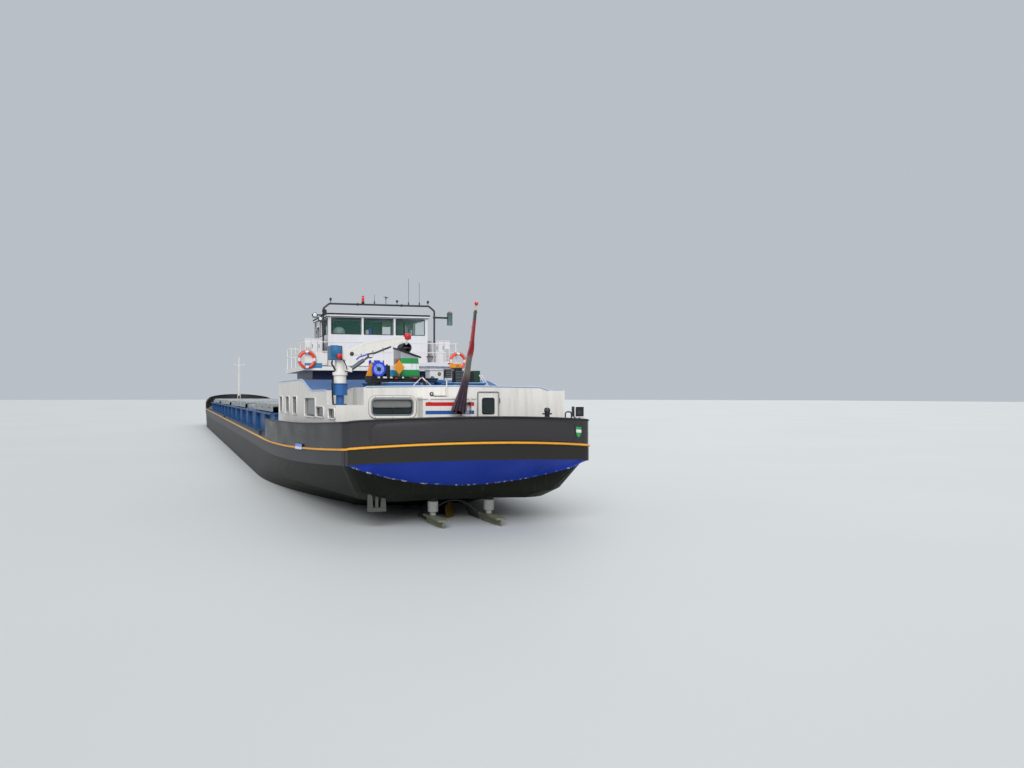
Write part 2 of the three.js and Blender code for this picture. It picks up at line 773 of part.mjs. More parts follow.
function makeHouse() {
  const { aft, fore, half, wall } = HOUSE;
  const top = houseTop();
  const inside = [
    [aft + wall, 200],
    [fore - wall, 200],
    ...top
      .slice()
      .reverse()
      .map(([x, z]) => [Math.min(Math.max(x, aft + wall), fore - wall), z - wall]),
  ];
  const shell = prism("XZ", houseOutline, -half, half).subtract(
    prism("XZ", inside, -half + wall, half - wall),
  );
  const lining = box([aft, NOTCH.x + wall], [NOTCH.y - wall, half], [NOTCH.z - wall, HOUSE.roofAft - 1]);
  const sideCuts = HOUSE_WINDOWS.map(([x0, x1, z0, z1]) =>
    prism("XZ", rounded([x0, x1], [z0, z1], 8), -half - 5, half + 5),
  );
  const rear = prism("YZ", rounded(REAR_WINDOW.y, REAR_WINDOW.z, 12), aft - 5, aft + wall + 5);
  const door = box([aft - 5, aft + wall + 5], HOUSE_DOOR.y, HOUSE_DOOR.z);
  const closed = joined(shell, crown, lining).subtract(notch);
  const body = closed.subtract(joined(sideCuts)).subtract(rear).subtract(door);
  return standingOn(body, hull);
}

place("aft_house", makeHouse(), PAINT.white);
place(
  "house_door",
  box(
    [HOUSE.aft, HOUSE.aft + HOUSE_DOOR.thick],
    [HOUSE_DOOR.y[0] + 1, HOUSE_DOOR.y[1] - 1],
    [HOUSE_DOOR.z[0] + 1, HOUSE_DOOR.z[1] - 1],
  ).add(
    box([HOUSE.aft - 4, HOUSE.aft], [HOUSE_DOOR.y[1] - 12, HOUSE_DOOR.y[1] - 8], [450, 470]),
  ),
  PAINT.white,
);

// Engine-room skylight with its lid, on the aft roof
const SKYLIGHT = { x: [330, 450], y: [-142, -36], low: 550, high: 565, lid: 6 };
place(
  "skylight",
  standingOn(box(SKYLIGHT.x, SKYLIGHT.y, [SKYLIGHT.low, SKYLIGHT.high]), houseSolid),
  PAINT.blue,
);
place(
  "skylight_lid",
  box(
    [SKYLIGHT.x[0] - 4, SKYLIGHT.x[1] + 4],
    [SKYLIGHT.y[0] - 4, SKYLIGHT.y[1] + 4],
    [SKYLIGHT.high + GAP, SKYLIGHT.high + SKYLIGHT.lid],
  ),
  PAINT.blue,
);

// Deck locker against the rear wall
const LOCKER = { x: [186, HOUSE.aft - GAP], y: [-50, 126], top: 522 };
const LOCKER_HOLE = { y: [-34, -15], z: [471, 507], deep: 14 };
place(
  "deck_locker",
  standingOn(
    box(LOCKER.x, LOCKER.y, [340, LOCKER.top]).subtract(
      box([LOCKER.x[0] - 5, LOCKER.x[0] + LOCKER_HOLE.deep], LOCKER_HOLE.y, LOCKER_HOLE.z),
    ),
    hull,
  ),
  PAINT.white,
);

// Flagstaff on its post, raked aft, with the furled flag round it
const STAFF = { post: [173, 7], foot: [175, 7, 465], top: [48, 7, 802], r: 3.2 };

function makeStaff() {
  const { post, foot, top, r } = STAFF;
  const [x, y] = post;
  const stand = rod([x, y, 340], [x, y, foot[2] + 2], 6.5, { sides: 8 });
  const staff = rod(foot, top, 5, { end: r, sides: 8 });
  const knob = new THREE.SphereGeometry(6, 8, 6);
  knob.translate(...top);
  return standingOn(joined(stand, staff, solid(knob)), hull);
}

const staffPoint = (t) => STAFF.foot.map((value, i) => value + (STAFF.top[i] - value) * t);
place("flagstaff", makeStaff(), PAINT.steel);

function makeFlag() {
  const [fx, fy, fz] = staffPoint(0.1);
  const [tx, , tz] = staffPoint(0.93);
  const length = Math.hypot(tx - fx, tz - fz);
  const hole = 5 + 0.6;
  return turned(
    [
      [hole, 0],
      [17, 4],
      [20, length * 0.12],
      [17, length * 0.35],
      [12, length * 0.6],
      [8, length * 0.8],
      [7, length],
      [hole, length],
      [hole, 0],
    ],
    [fx, fy, fz],
    [tx - fx, 0, tz - fz],
    14,
  );
}

place("flag", makeFlag(), PAINT.cloth);

// Funnel on the roof: its top slants up forward and to port, and the exhaust lies along it
const FUNNEL = {
  x: [560, 650],
  y: [3, 82],
  low: 545,
  high: 720,
  top: 666.6,
  forward: 0.144,
  sideways: 0.322,
};
const EXHAUST = { x: [568, 632], y: 55, z: 703, r: 18, bore: 14, deep: 40 };

function makeFunnel() {
  const { x, y, low, high, top, forward, sideways } = FUNNEL;
  const normal = new THREE.Vector3(forward, sideways, -1);
  const offset = normal.dot(new THREE.Vector3(x[0], y[0], top)) / normal.length();
  const body = box(x, y, [low, high]).trimByPlane(normal.toArray(), offset);
  const { x: along, y: across, z, r, bore: inner, deep } = EXHAUST;
  const bar = (from, to, radius) => rod([from, across, z], [to, across, z], radius, { sides: 20 });
  const stack = bar(...along, r);
  const bore = bar(along[0] - 5, along[0] + deep, inner);
  return standingOn(joined(body, stack).subtract(bore), houseSolid);
}

place("funnel", makeFunnel(), PAINT.green);

// Hose reel beside it, on its stand
const REEL = { x: 560, y: 162, z: 624, r: 26, long: 30 };

function makeReel() {
  const { x, y, z, r, long } = REEL;
  return turned(
    [
      [0, 0],
      [r, 0],
      [r, 3],
      [r - 8, 3.5],
      [r - 8, long - 3.5],
      [r, long - 3],
      [r, long],
      [0, long],
    ],
    [x, y, z],
    [1, 0, 0],
    28,
  );
}

place("hose_reel", makeReel(), PAINT.reel);
place(
  "hose_reel_stand",
  standingOn(
    joined(
      box([REEL.x + REEL.long + 1, REEL.x + REEL.long + 7], [REEL.y - 14, REEL.y + 14], [540, REEL.z + 12]),
      box([REEL.x - 6, REEL.x + REEL.long + 7], [REEL.y - 22, REEL.y + 22], [540, 592]),
    ),
    houseSolid,
  ),
  PAINT.yellow,
);

// Deck crane: pedestal, slewing column, luffing boom and its cylinder
const CRANE = { x: 310, y: 362, head: 626, pivot: [328, 662], eye: [262, 658], base: [332, 610], rise: 15 };
const PEDESTAL = { foot: 13, footTop: 530, drum: 24, drumTop: 566, post: 20 };

function makePedestal() {
  const { foot, footTop, drum, drumTop, post } = PEDESTAL;
  const part = (from, to, radius) =>
    rod([CRANE.x, CRANE.y, from], [CRANE.x, CRANE.y, to], radius, { sides: 20 });
  return standingOn(
    joined(
      part(NOTCH.z - 20, footTop + 1, foot),
      part(footTop, drumTop, drum),
      part(drumTop - 1, CRANE.head - 30, post),
      part(CRANE.head - 32, CRANE.head - 22, drum),
    ),
    houseSolid,
  );
}

function makeColumn() {
  const { x, y, head, pivot, base } = CRANE;
  const [py, pz] = pivot;
  const post = rod([x, y, head - 22 + GAP], [x, y, head + 52], 17, { sides: 20 });
  const winch = box([x - 24, x + 24], [y - 2, y + 36], [head + 17, head + 61]);
  const cheek = (from, to) =>
    prism(
      "YZ",
      [
        [y + 2, head + 14],
        [py - 10, pz - 12],
        [py - 12, pz + 4],
        [py - 4, pz + 12],
        [y + 2, head + 60],
      ],
      from,
      to,
    );
  const lug = (from, to) =>
    prism(
      "YZ",
      [
        [y, head - 14],
        [base[0] - 7, base[1] - 6],
        [base[0] - 7, base[1] + 6],
        [y, head + 8],
      ],
      from,
      to,
    );
  const pins = [
    rod([x - 16, py, pz], [x + 16, py, pz], 4, { sides: 12 }),
    rod([x - 11, ...base], [x + 11, ...base], 3, { sides: 12 }),
  ];
  const cheeks = [cheek(x - 20, x - 15), cheek(x + 15, x + 20)];
  const lugs = [lug(x - 12, x - 7), lug(x + 7, x + 12)];
  return joined(post, winch, cheeks, lugs, pins);
}

// A point of the boom, at a distance along it and a height above its axis
function boomPoint(along, above) {
  const angle = (CRANE.rise * Math.PI) / 180;
  const [py, pz] = CRANE.pivot;
  return [
    py - along * Math.cos(angle) + above * Math.sin(angle),
    pz + along * Math.sin(angle) + above * Math.cos(angle),
  ];
}

// Outlines of the boom in its own line. Columns: distance along it, height above its axis
const BOOM_GIRDER = [
  [-9, -6],
  [-9, 10],
  [58, 21],
  [172, 12],
  [172, -4],
  [70, -12],
];
const BOOM_TIP = [
  [171, -3],
  [171, 11],
  [190, 10],
  [196, -4],
  [185, -10],
];

function makeBoom() {
  const { x, pivot, eye } = CRANE;
  const [py, pz] = pivot;
  const [ey, ez] = eye;
  const outline = (points) => points.map(([along, above]) => boomPoint(along, above));
  const girder = prism("YZ", outline(BOOM_GIRDER), x - 11, x + 11);
  const tip = prism("YZ", outline(BOOM_TIP), x - 6, x + 6);
  const bore = rod([x - 20, py, pz], [x + 20, py, pz], 4.3, { sides: 12 });
  const ear = (from, to) =>
    prism(
      "YZ",
      [
        [ey - 8, ez + 15],
        [ey - 6, ez - 5],
        [ey + 6, ez - 5],
        [ey + 8, ez + 10],
      ],
      from,
      to,
    );
  const pin = rod([x - 9, ey, ez], [x + 9, ey, ez], 2.2, { sides: 10 });
  return joined(girder, tip, ear(x - 10, x - 6), ear(x + 6, x + 10), pin).subtract(bore);
}

const CYLINDER = { r: 6.5, rod: 3.5, barrel: 58 };

function cylinderAxis() {
  const base = new THREE.Vector3(CRANE.x, ...CRANE.base);
  const eye = new THREE.Vector3(CRANE.x, ...CRANE.eye);
  return { base, eye, along: eye.clone().sub(base).normalize() };
}

function onAxis(distance) {
  const { base, along } = cylinderAxis();
  return base.clone().addScaledVector(along, distance).toArray();
}

function makeBarrel() {
  const { x, base } = CRANE;
  const eye = rod([x - 6, ...base], [x + 6, ...base], 7, { sides: 16 });
  const hole = rod([x - 12, ...base], [x + 12, ...base], 3.3, { sides: 12 });
  const tube = rod(onAxis(5), onAxis(CYLINDER.barrel), CYLINDER.r, { sides: 16 });
  const bore = rod(onAxis(14), onAxis(CYLINDER.barrel + 5), CYLINDER.rod + GAP, { sides: 12 });
  return joined(eye, tube).subtract(hole).subtract(bore);
}

function makeRod() {
  const { x, eye } = CRANE;
  const { base, eye: end } = cylinderAxis();
  const length = base.distanceTo(end);
  const bar = rod(onAxis(20), onAxis(length - 7), CYLINDER.rod, { sides: 12 });
  const ring = rod([x - 5, ...eye], [x + 5, ...eye], 9, { sides: 16 });
  const hole = rod([x - 12, ...eye], [x + 12, ...eye], 6, { sides: 16 });
  return joined(bar, ring).subtract(hole);
}

place("crane_pedestal", makePedestal(), PAINT.blue);
place("crane_column", makeColumn(), PAINT.winch);
place("crane_boom", makeBoom(), PAINT.white);
place("luff_barrel", makeBarrel(), PAINT.steel);
place("luff_rod", makeRod(), PAINT.steel);

// Upper deck under the wheelhouse, with its plinth
place(
  "upper_deck",
  standingOn(
    joined(
      box([UPPER.aft, UPPER.fore], [-UPPER.half, UPPER.half], [UPPER.under, UPPER.top]),
      box([UPPER.aft + 60, HOUSE.fore], [-300, 300], [580, UPPER.under + 1]),
    ),
    houseSolid,
  ),
  PAINT.white,
);

// Wheelhouse: chamfered front corners, windows all round, a door in each side

function cabinOutline(inset) {
  const { aft, fore, half, chamfer } = CABIN;
  const cut = chamfer - inset * 0.6;
  return [
    [aft + inset, -half + inset],
    [fore - cut - inset, -half + inset],
    [fore - inset, -half + cut + inset],
    [fore - inset, half - cut - inset],
    [fore - cut - inset, half - inset],
    [aft + inset, half - inset],
  ];
}

const REAR_PANES = 3;
const PANE = 133;
const MULLION = 13;

function makeCabin() {
  const { aft, fore, half, wall, glassLow, top, chamfer } = CABIN;
  const shell = prism("XY", cabinOutline(0), UPPER.top + GAP, top).subtract(
    prism("XY", cabinOutline(wall), UPPER.top - 5, top + 5),
  );
  const high = [glassLow, top - 6];
  const step = PANE + MULLION;
  const across = Array.from({ length: REAR_PANES }, (_, i) => {
    const y = (i - 1) * step;
    return [
      box([aft - 5, aft + wall + 5], [y - PANE / 2, y + PANE / 2], high),
      box([fore - wall - 5, fore + 5], [y * 0.78 - 48, y * 0.78 + 48], high),
    ];
  }).flat();
  const along = [
    [aft + 15, CABIN_DOOR.from - 12],
    [CABIN_DOOR.to + 10, fore - chamfer - 8],
  ].map((x) => box(x, [-half - 5, half + 5], high));
  const doors = box(
    [CABIN_DOOR.from, CABIN_DOOR.to],
    [-half - 5, half + 5],
    [CABIN_DOOR.low, CABIN_DOOR.high],
  );
  return shell.subtract(joined(across)).subtract(joined(along)).subtract(doors);
}

place("wheelhouse", makeCabin(), PAINT.white);

// Glass just inside the walls: one pane strip aft of the doors and one ahead of them

function glassBand(xRange) {
  const inset = CABIN.wall + GAP;
  const band = prism("XY", cabinOutline(inset), CABIN.glassLow - 5, CABIN.top - 2).subtract(
    prism("XY", cabinOutline(inset + 2), CABIN.glassLow - 8, CABIN.top + 2),
  );
  return band.intersect(box(xRange, [-400, 400], [700, 900]));
}

place("wheelhouse_glass_aft", glassBand([1100, CABIN_DOOR.from - 4]), PAINT.glass);
place("wheelhouse_glass_fore", glassBand([CABIN_DOOR.to + 4, 1600]), PAINT.glass);

function makeCabinDoor() {
  const { from, to, low, high } = CABIN_DOOR;
  const y = [CABIN.half - CABIN.wall + 2, CABIN.half];
  const panel = box([from + 1, to - 1], y, [low + 1, high - 1]);
  const window = prism("XZ", rounded([from + 12, to - 12], [790, 842], 6), y[0] - 5, y[1] + 5);
  const handle = box([from + 6, from + 9], [CABIN.half, CABIN.half + 4], [745, 765]);
  return panel.subtract(window).add(handle);
}

place("wheelhouse_door_port", makeCabinDoor(), PAINT.white);
place("wheelhouse_door_starboard", mirrored(makeCabinDoor()), PAINT.white);

const RADAR = { x: 1390, base: 12, bar: [200, 12, 8] };
const RADAR_FOOT = ROOF.top + 5 + GAP;

function makeRoof() {
  const slab = prism("XY", cabinOutline(-ROOF.over), CABIN.top + GAP, ROOF.top);
  const rise = prism("XY", cabinOutline(40), ROOF.top - 1, ROOF.top + 5);
  const foot = rod([RADAR.x, 0, ROOF.top], [RADAR.x, 0, RADAR_FOOT + RADAR.base], 12, { end: 9, sides: 16 });
  return joined(slab, rise, foot);
}

place("wheelhouse_roof", makeRoof(), PAINT.white);

// Helm: console under the front windows and the chair behind it
place(
  "helm_console",
  prism(
    "XZ",
    [
      [1440, UPPER.top + GAP],
      [1488, UPPER.top + GAP],
      [1488, 765],
      [1470, 772],
      [1425, 752],
      [1425, 744],
      [1440, 738],
    ],
    -120,
    120,
  ),
  PAINT.grey,
);
place(
  "helm_chair",
  joined(
    rod([1372, 0, UPPER.top + GAP], [1372, 0, 661], 24, { sides: 16 }),
    rod([1372, 0, 660], [1372, 0, 705], 5),
    box([1348, 1398], [-26, 26], [702, 714]),
    prism("XZ", [[1344, 710], [1354, 710], [1346, 790], [1337, 788]], -24, 24),
    bothSides(box([1356, 1392], [26, 31], [712, 734])),
  ),
  PAINT.black,
);

// Lockers on both bridge wings
const WING = { x: [1136, 1310], y: [247, 330], top: 773 };
const wingLocker = () => box(WING.x, WING.y, [UPPER.top + GAP, WING.top]);
place("wing_locker_port", wingLocker(), PAINT.white);
place("wing_locker_starboard", mirrored(wingLocker()), PAINT.white);

// Portal frame over the rear wall, with lamps, side arms and lantern boxes
const PORTAL = { x: 1122, y: 252, shoulder: 904, top: 925, in: 226, r: 4, arm: 875 };
const TOP_LAMPS = [
  // y, height above the rail, radius
  [220, 21, 4],
  [76, 34, 5],
  [24, 34, 1.8],
  [-28, 34, 2.5],
  [-79, 20, 5],
  [-132, 17, 2],
  [-182, 45, 1.8],
  [-222, 24, 4],
];
const ARM_LAMPS = [
  // y, from z, to z, radius
  [276, 868, 898, 5],
  [300, 868, 904, 6],
  [-325, 840, 898, 11],
];

function makePortal() {
  const { x, y, shoulder, top, in: inner, r, arm } = PORTAL;
  const frame = pipe(
    [
      [x, y, 640],
      [x, y, shoulder],
      [x, inner, top],
      [x, -inner, top],
      [x, -y, shoulder],
      [x, -y, 640],
    ],
    r,
    6,
  );
  const cross = rod([x, y, shoulder], [x, -y, shoulder], r - 1, { sides: 6 });
  const lamps = TOP_LAMPS.map(([ly, high, lr]) => rod([x, ly, top], [x, ly, top + high], lr, { sides: 6 }));
  const arms = [
    rod([x, y - 2, arm], [x, 302, arm], r - 1, { sides: 6 }),
    rod([x, -y + 2, arm], [x, -320, arm], r - 1, { sides: 6 }),
  ];
  const lanterns = ARM_LAMPS.map(([ly, from, to, lr]) => rod([x, ly, from], [x, ly, to], lr, { sides: 12 }));
  const feet = box([x - 8, x + 8], [y - 8, y + 2], [640, UPPER.top + 6]);
  return standingOn(
    joined(frame, cross, lamps, arms, lanterns, bothSides(feet)),
    upperSolid,
  );
}

const upperSolid = box([UPPER.aft, UPPER.fore], [-UPPER.half, UPPER.half], [580, UPPER.top]);
place("portal_frame", makePortal(), PAINT.white);

// Radar scanner that turns on its foot on the wheelhouse roof
function makeScanner() {
  const [long, wide, high] = RADAR.bar;
  const foot = RADAR_FOOT + RADAR.base;
  const low = foot + 2;
  return joined(
    box([RADAR.x - wide / 2, RADAR.x + wide / 2], [-long / 2, long / 2], [low, low + high]),
    rod([RADAR.x, 0, foot + GAP], [RADAR.x, 0, low + 1], 5),
  );
}

place("radar_scanner", makeScanner(), PAINT.white);

// Railing round the upper deck's edge in three panels; the lifebuoys hang behind the aft one
const RAIL = { aft: UPPER.aft + 5, half: UPPER.half - 6, fore: UPPER.fore - 8, r: 2, heights: [715, 755] };
const RAIL_JOINT = 6;
const SIDE_POSTS = 4;
const AFT_POSTS = [-330, -230, -110, 0, 110, 230, 330];
const BUOY = { y: 336, z: 679, ring: 32, r: 6 };

const railPost = (x, y) => rod([x, y, UPPER.top - 15], [x, y, RAIL.heights.at(-1)], RAIL.r, { sides: 5 });

function makeSideRail() {
  const { aft, half, fore, r, heights } = RAIL;
  const from = aft + RAIL_JOINT;
  const rails = heights.map((z) =>
    pipe(
      [
        [fore, half - 90, z],
        [fore, half, z],
        [from, half, z],
      ],
      r,
      5,
    ),
  );
  const posts = Array.from({ length: SIDE_POSTS + 1 }, (_, i) =>
    railPost(from + r + ((fore - from - r) * i) / SIDE_POSTS, half),
  );
  return standingOn(joined(rails, posts, railPost(fore, half - 90)), upperSolid);
}

function makeAftRail() {
  const { aft, half, r, heights } = RAIL;
  const rails = heights.map((z) => rod([aft, -half, z], [aft, half, z], r, { sides: 5 }));
  const posts = AFT_POSTS.map((y) => railPost(aft, y));
  return standingOn(joined(rails, posts), upperSolid);
}

place("railing_port", makeSideRail(), PAINT.white);
place("railing_starboard", mirrored(makeSideRail()), PAINT.white);
place("railing_aft", makeAftRail(), PAINT.white);

function makeBuoy(side) {
  const ring = new THREE.TorusGeometry(BUOY.ring, BUOY.r, 8, 24);
  ring.rotateY(Math.PI / 2);
  ring.translate(UPPER.aft - BUOY.r - GAP, side * BUOY.y, BUOY.z);
  return solid(ring);
}

place("lifebuoy_port", makeBuoy(1), PAINT.orange);
place("lifebuoy_starboard", makeBuoy(-1), PAINT.orange);

// Bow store, windlass, anchors and the folding fore mast
const STORE = { x: [7740, 7960], half: 170, top: 482 };
place(
  "bow_store",
  standingOn(
    joined(
      box(STORE.x, [-STORE.half, STORE.half], [300, STORE.top]),
      box([STORE.x[0] - 5, STORE.x[1] + 5], [-STORE.half - 5, STORE.half + 5], [STORE.top - 6, STORE.top]),
    ),
    hull,
  ),
  PAINT.white,
);

const WINDLASS = { x: 8270, z: 442, half: 150, r: 7 };

function makeWindlassFrame() {
  const { x, z, half } = WINDLASS;
  const cheek = (y) =>
    prism("XZ", [[x - 38, 340], [x + 38, 340], [x + 14, z + 16], [x - 14, z + 16]], y - 4, y + 4);
  const bore = rod([x, -half, z], [x, half, z], WINDLASS.r + 1, { sides: 18 });
  const bed = box([x - 42, x + 42], [-95, 95], [340, 408]);
  const motor = box([x + 12, x + 48], [-30, 30], [400, 440]);
  return standingOn(joined(bed, motor, [-82, -40, 40, 82].map(cheek)).subtract(bore), hull);
}

function makeWindlassDrum() {
  const { x, z, half, r } = WINDLASS;
  const profile = [
    [0, -half + 20],
    [18, -half + 20],
    [13, -half + 30],
    [13, -half + 50],
    [18, -half + 60],
    [r, -half + 60],
    [r, -72],
    [22, -72],
    [22, -68],
    [15, -66],
    [15, -54],
    [22, -52],
    [22, -48],
    [r, -48],
  ];
  const whole = [...profile, ...profile.map(([a, b]) => [a, -b]).reverse()];
  return turned(whole, [x, 0, z], [0, 1, 0], 14);
}

place("windlass_frame", makeWindlassFrame(), PAINT.winch);
place("windlass_drum", makeWindlassDrum(), PAINT.steel);

// A stockless anchor, hanging by its shank: crown, shank and two flukes
function anchorShape(size) {
  return joined(
    box([-4, 4], [-4, 4], [-10, size]),
    box([-7, 7], [-28, 28], [-16, -4]),
    bothSides(
      prism("YZ", [[12, -8], [28, -8], [27, 34], [22, 46], [15, 30]], -5, 5),
    ).flat(),
  );
}

// Bow anchors lie against the flare on each side of the stem
const ANCHOR = { x: 8330, y: 352, z: 300, turn: 30, size: 62 };

function makeBowAnchor() {
  const hanging = anchorShape(ANCHOR.size)
    .rotate([0, 0, 90 - ANCHOR.turn])
    .translate([ANCHOR.x, ANCHOR.y, ANCHOR.z]);
  return hanging.subtract(hullFat);
}

const hullFat = hull.add(hull.translate([0.22, 0.22, 0])).add(hull.translate([0, 0.32, 0]));
place("anchor_port", makeBowAnchor(), PAINT.black);
place("anchor_starboard", mirrored(makeBowAnchor()), PAINT.black);

// Stern anchor under the counter, to port
place(
  "stern_anchor",
  hungUnder(anchorShape(90).translate([150, 285, 196]), hull),
  PAINT.grey,
);

// Fore mast: a step on deck, and the mast that folds aft on it
const MAST = { x: 8180, pivot: 530, top: 1050, r: 9 };

function makeStep() {
  const { x, pivot } = MAST;
  const cheek = (from, to) =>
    prism("XZ", [[x - 16, 340], [x + 22, 340], [x + 14, pivot + 12], [x - 10, pivot + 12]], from, to);
  const pin = rod([x, -20, pivot], [x, 20, pivot], 4, { sides: 12 });
  const foot = box([x - 20, x + 26], [-24, 24], [340, 412]);
  return standingOn(joined(cheek(-20, -15), cheek(15, 20), pin, foot), hull);
}

function makeMast() {
  const { x, pivot, top, r } = MAST;
  const tube = rod([x, 0, pivot - 8], [x, 0, top], r, { end: 5, sides: 14 });
  const bore = rod([x, -30, pivot], [x, 30, pivot], 4.3, { sides: 12 });
  const yard = rod([x, -70, 940], [x, 70, 940], 3, { sides: 8 });
  const lamps = [
    [x + 9, 0, 985],
    [x, 66, 944],
    [x, -66, 944],
  ].map(([lx, ly, lz]) => rod([lx, ly, lz - 6], [lx, ly, lz + 8], 5, { sides: 12 }));
  return joined(tube, yard, lamps).subtract(bore);
}

place("mast_step", makeStep(), PAINT.white);
place("fore_mast", makeMast(), PAINT.white);

export default root;
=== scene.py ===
"""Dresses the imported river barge: weathered paint on every piece, and the fittings that the solids leave out.

Metres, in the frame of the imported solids: +X is the bow, +Y port and +Z up, with the flat bottom at zero.
"""

import math

import bpy
import numpy as np
from bpy.props import FloatProperty, FloatVectorProperty, IntProperty, PointerProperty
from mathutils import Matrix, Vector


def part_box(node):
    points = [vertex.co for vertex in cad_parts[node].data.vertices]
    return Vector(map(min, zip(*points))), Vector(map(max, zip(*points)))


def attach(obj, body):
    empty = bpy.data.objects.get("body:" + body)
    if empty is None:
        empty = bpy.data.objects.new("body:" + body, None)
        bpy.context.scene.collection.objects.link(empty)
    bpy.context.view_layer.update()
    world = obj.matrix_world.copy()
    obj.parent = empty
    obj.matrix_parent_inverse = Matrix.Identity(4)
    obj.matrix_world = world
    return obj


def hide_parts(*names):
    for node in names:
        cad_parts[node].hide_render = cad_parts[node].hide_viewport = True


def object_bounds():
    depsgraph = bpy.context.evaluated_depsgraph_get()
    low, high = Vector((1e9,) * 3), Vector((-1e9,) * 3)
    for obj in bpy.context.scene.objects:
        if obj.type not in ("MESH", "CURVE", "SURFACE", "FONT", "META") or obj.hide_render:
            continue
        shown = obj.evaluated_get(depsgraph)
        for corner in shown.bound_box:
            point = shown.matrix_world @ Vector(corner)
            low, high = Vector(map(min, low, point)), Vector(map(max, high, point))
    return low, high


bl_info = {
    "name": "River Barge Dressing",
    "version": (1, 0, 0),
    "blender": (4, 5, 0),
    "location": "3D View > Sidebar > Barge",
    "description": "Paints a packed river barge and adds its fittings, flag, lamps and floor",
    "category": "Object",
}

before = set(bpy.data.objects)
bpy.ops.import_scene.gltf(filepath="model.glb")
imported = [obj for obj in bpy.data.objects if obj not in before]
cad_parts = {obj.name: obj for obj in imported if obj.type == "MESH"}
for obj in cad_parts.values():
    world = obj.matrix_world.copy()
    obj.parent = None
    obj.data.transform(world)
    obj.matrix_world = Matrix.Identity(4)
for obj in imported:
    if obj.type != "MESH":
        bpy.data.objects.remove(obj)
CAD_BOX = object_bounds()
STERN_X = CAD_BOX[0].x
WATERLINE = 0.13
UP, AHEAD, AFT = (0, 0, 1), (1, 0, 0), (-1, 0, 0)


# Numbers and arrays


def linear(code):
    """Linear colour of a hex code: a channel c above 0.04 is ((c + 0.055) / 1.055) ** 2.4, and c / 12.92
    below."""
    c = np.array([int(code[i : i + 2], 16) for i in (0, 2, 4)]) / 255
    return tuple(np.where(c > 0.04045, ((c + 0.055) / 1.055) ** 2.4, c / 12.92).tolist())


def unit(vectors):
    """Each vector over its own length."""
    vectors = np.asarray(vectors, float)
    return vectors / np.maximum(np.linalg.norm(vectors, axis=-1, keepdims=True), 1e-12)


def smooth(t):
    """3 t^2 - 2 t^3 between 0 and 1, flat beyond."""
    t = np.clip(t, 0, 1)
    return t * t * (3 - 2 * t)


# Skins: a skin is (points, [arrays of faces with the same number of corners])


def skin(rings, closed=False):
    """Quads between neighbouring rings of a grid, and a face over each end unless the last ring joins the
    first. The rings are reversed where the sum of each ring's area vector times the step to the next is
    negative."""
    rings = np.asarray(rings, float)
    area = np.cross(rings, np.roll(rings, -1, 1)).sum(1)
    centre = rings.mean(1)
    step = (np.roll(centre, -1, 0) if closed else centre[1:]) - (centre if closed else centre[:-1])
    mean_area = (area + np.roll(area, -1, 0))[: len(step)]
    if np.einsum("ij,ij->", mean_area, step) < 0:
        rings = rings[:, ::-1]
    rows, sides = rings.shape[:2]
    index = np.arange(rows * sides).reshape(rows, sides)
    here = index if closed else index[:-1]
    ahead = np.roll(index, -1, 0) if closed else index[1:]
    quads = np.stack([here, np.roll(here, -1, 1), np.roll(ahead, -1, 1), ahead], -1).reshape(-1, 4)
    groups = [quads] if closed else [quads, np.stack([index[0, ::-1], index[-1]])]
    return rings.reshape(-1, 3), groups


def copies(shape, offsets):
    """The skin once at each offset, by adding every offset to every point."""
    points, groups = shape
    offsets = np.asarray(offsets, float).reshape(-1, 3)
    moved = (points[None] + offsets[:, None]).reshape(-1, 3)
    shifts = np.arange(len(offsets)) * len(points)
    return moved, [(g[None] + shifts[:, None, None]).reshape(-1, g.shape[1]) for g in groups]


def mirrored(shape):
    """The skin on the other side: y becomes -y and each face is read backwards."""
    points, groups = shape
    return points * (1, -1, 1), [g[:, ::-1] for g in groups]


def both(shape):
    """The skin and its mirror image, as one skin."""
    (a, groups), (b, others) = shape, mirrored(shape)
    return np.concatenate([a, b]), groups + [g + len(a) for g in others]


def turned_about(shape, centre, axis, degrees):
    """The skin turned about a line through a point by Rodrigues' formula, as a rotation matrix."""
    points, groups = shape
    turn = np.array(Matrix.Rotation(math.radians(degrees), 3, Vector(axis)))
    return (points - centre) @ turn.T + centre, groups


def circle(radius, sides):
    """radius times the cosine and sine of equal steps round a full turn."""
    angle = np.arange(sides) * 2 * np.pi / sides
    return radius * np.stack([np.cos(angle), np.sin(angle)], -1)


def rounded(width, height, radius, steps=4):
    """A rectangle about zero with a quarter circle at each corner, anticlockwise."""
    angle = np.linspace(0, np.pi / 2, steps)
    arc = radius * np.stack([np.cos(angle), np.sin(angle)], -1)
    centre = np.array([width / 2 - radius, height / 2 - radius])
    quarter_turns = [np.array([[c, s], [-s, c]]) for c, s in ((1, 0), (0, 1), (-1, 0), (0, -1))]
    corners = centre * np.array([[1, 1], [-1, 1], [-1, -1], [1, -1]])
    return np.concatenate([arc @ turn + corner for turn, corner in zip(quarter_turns, corners)])


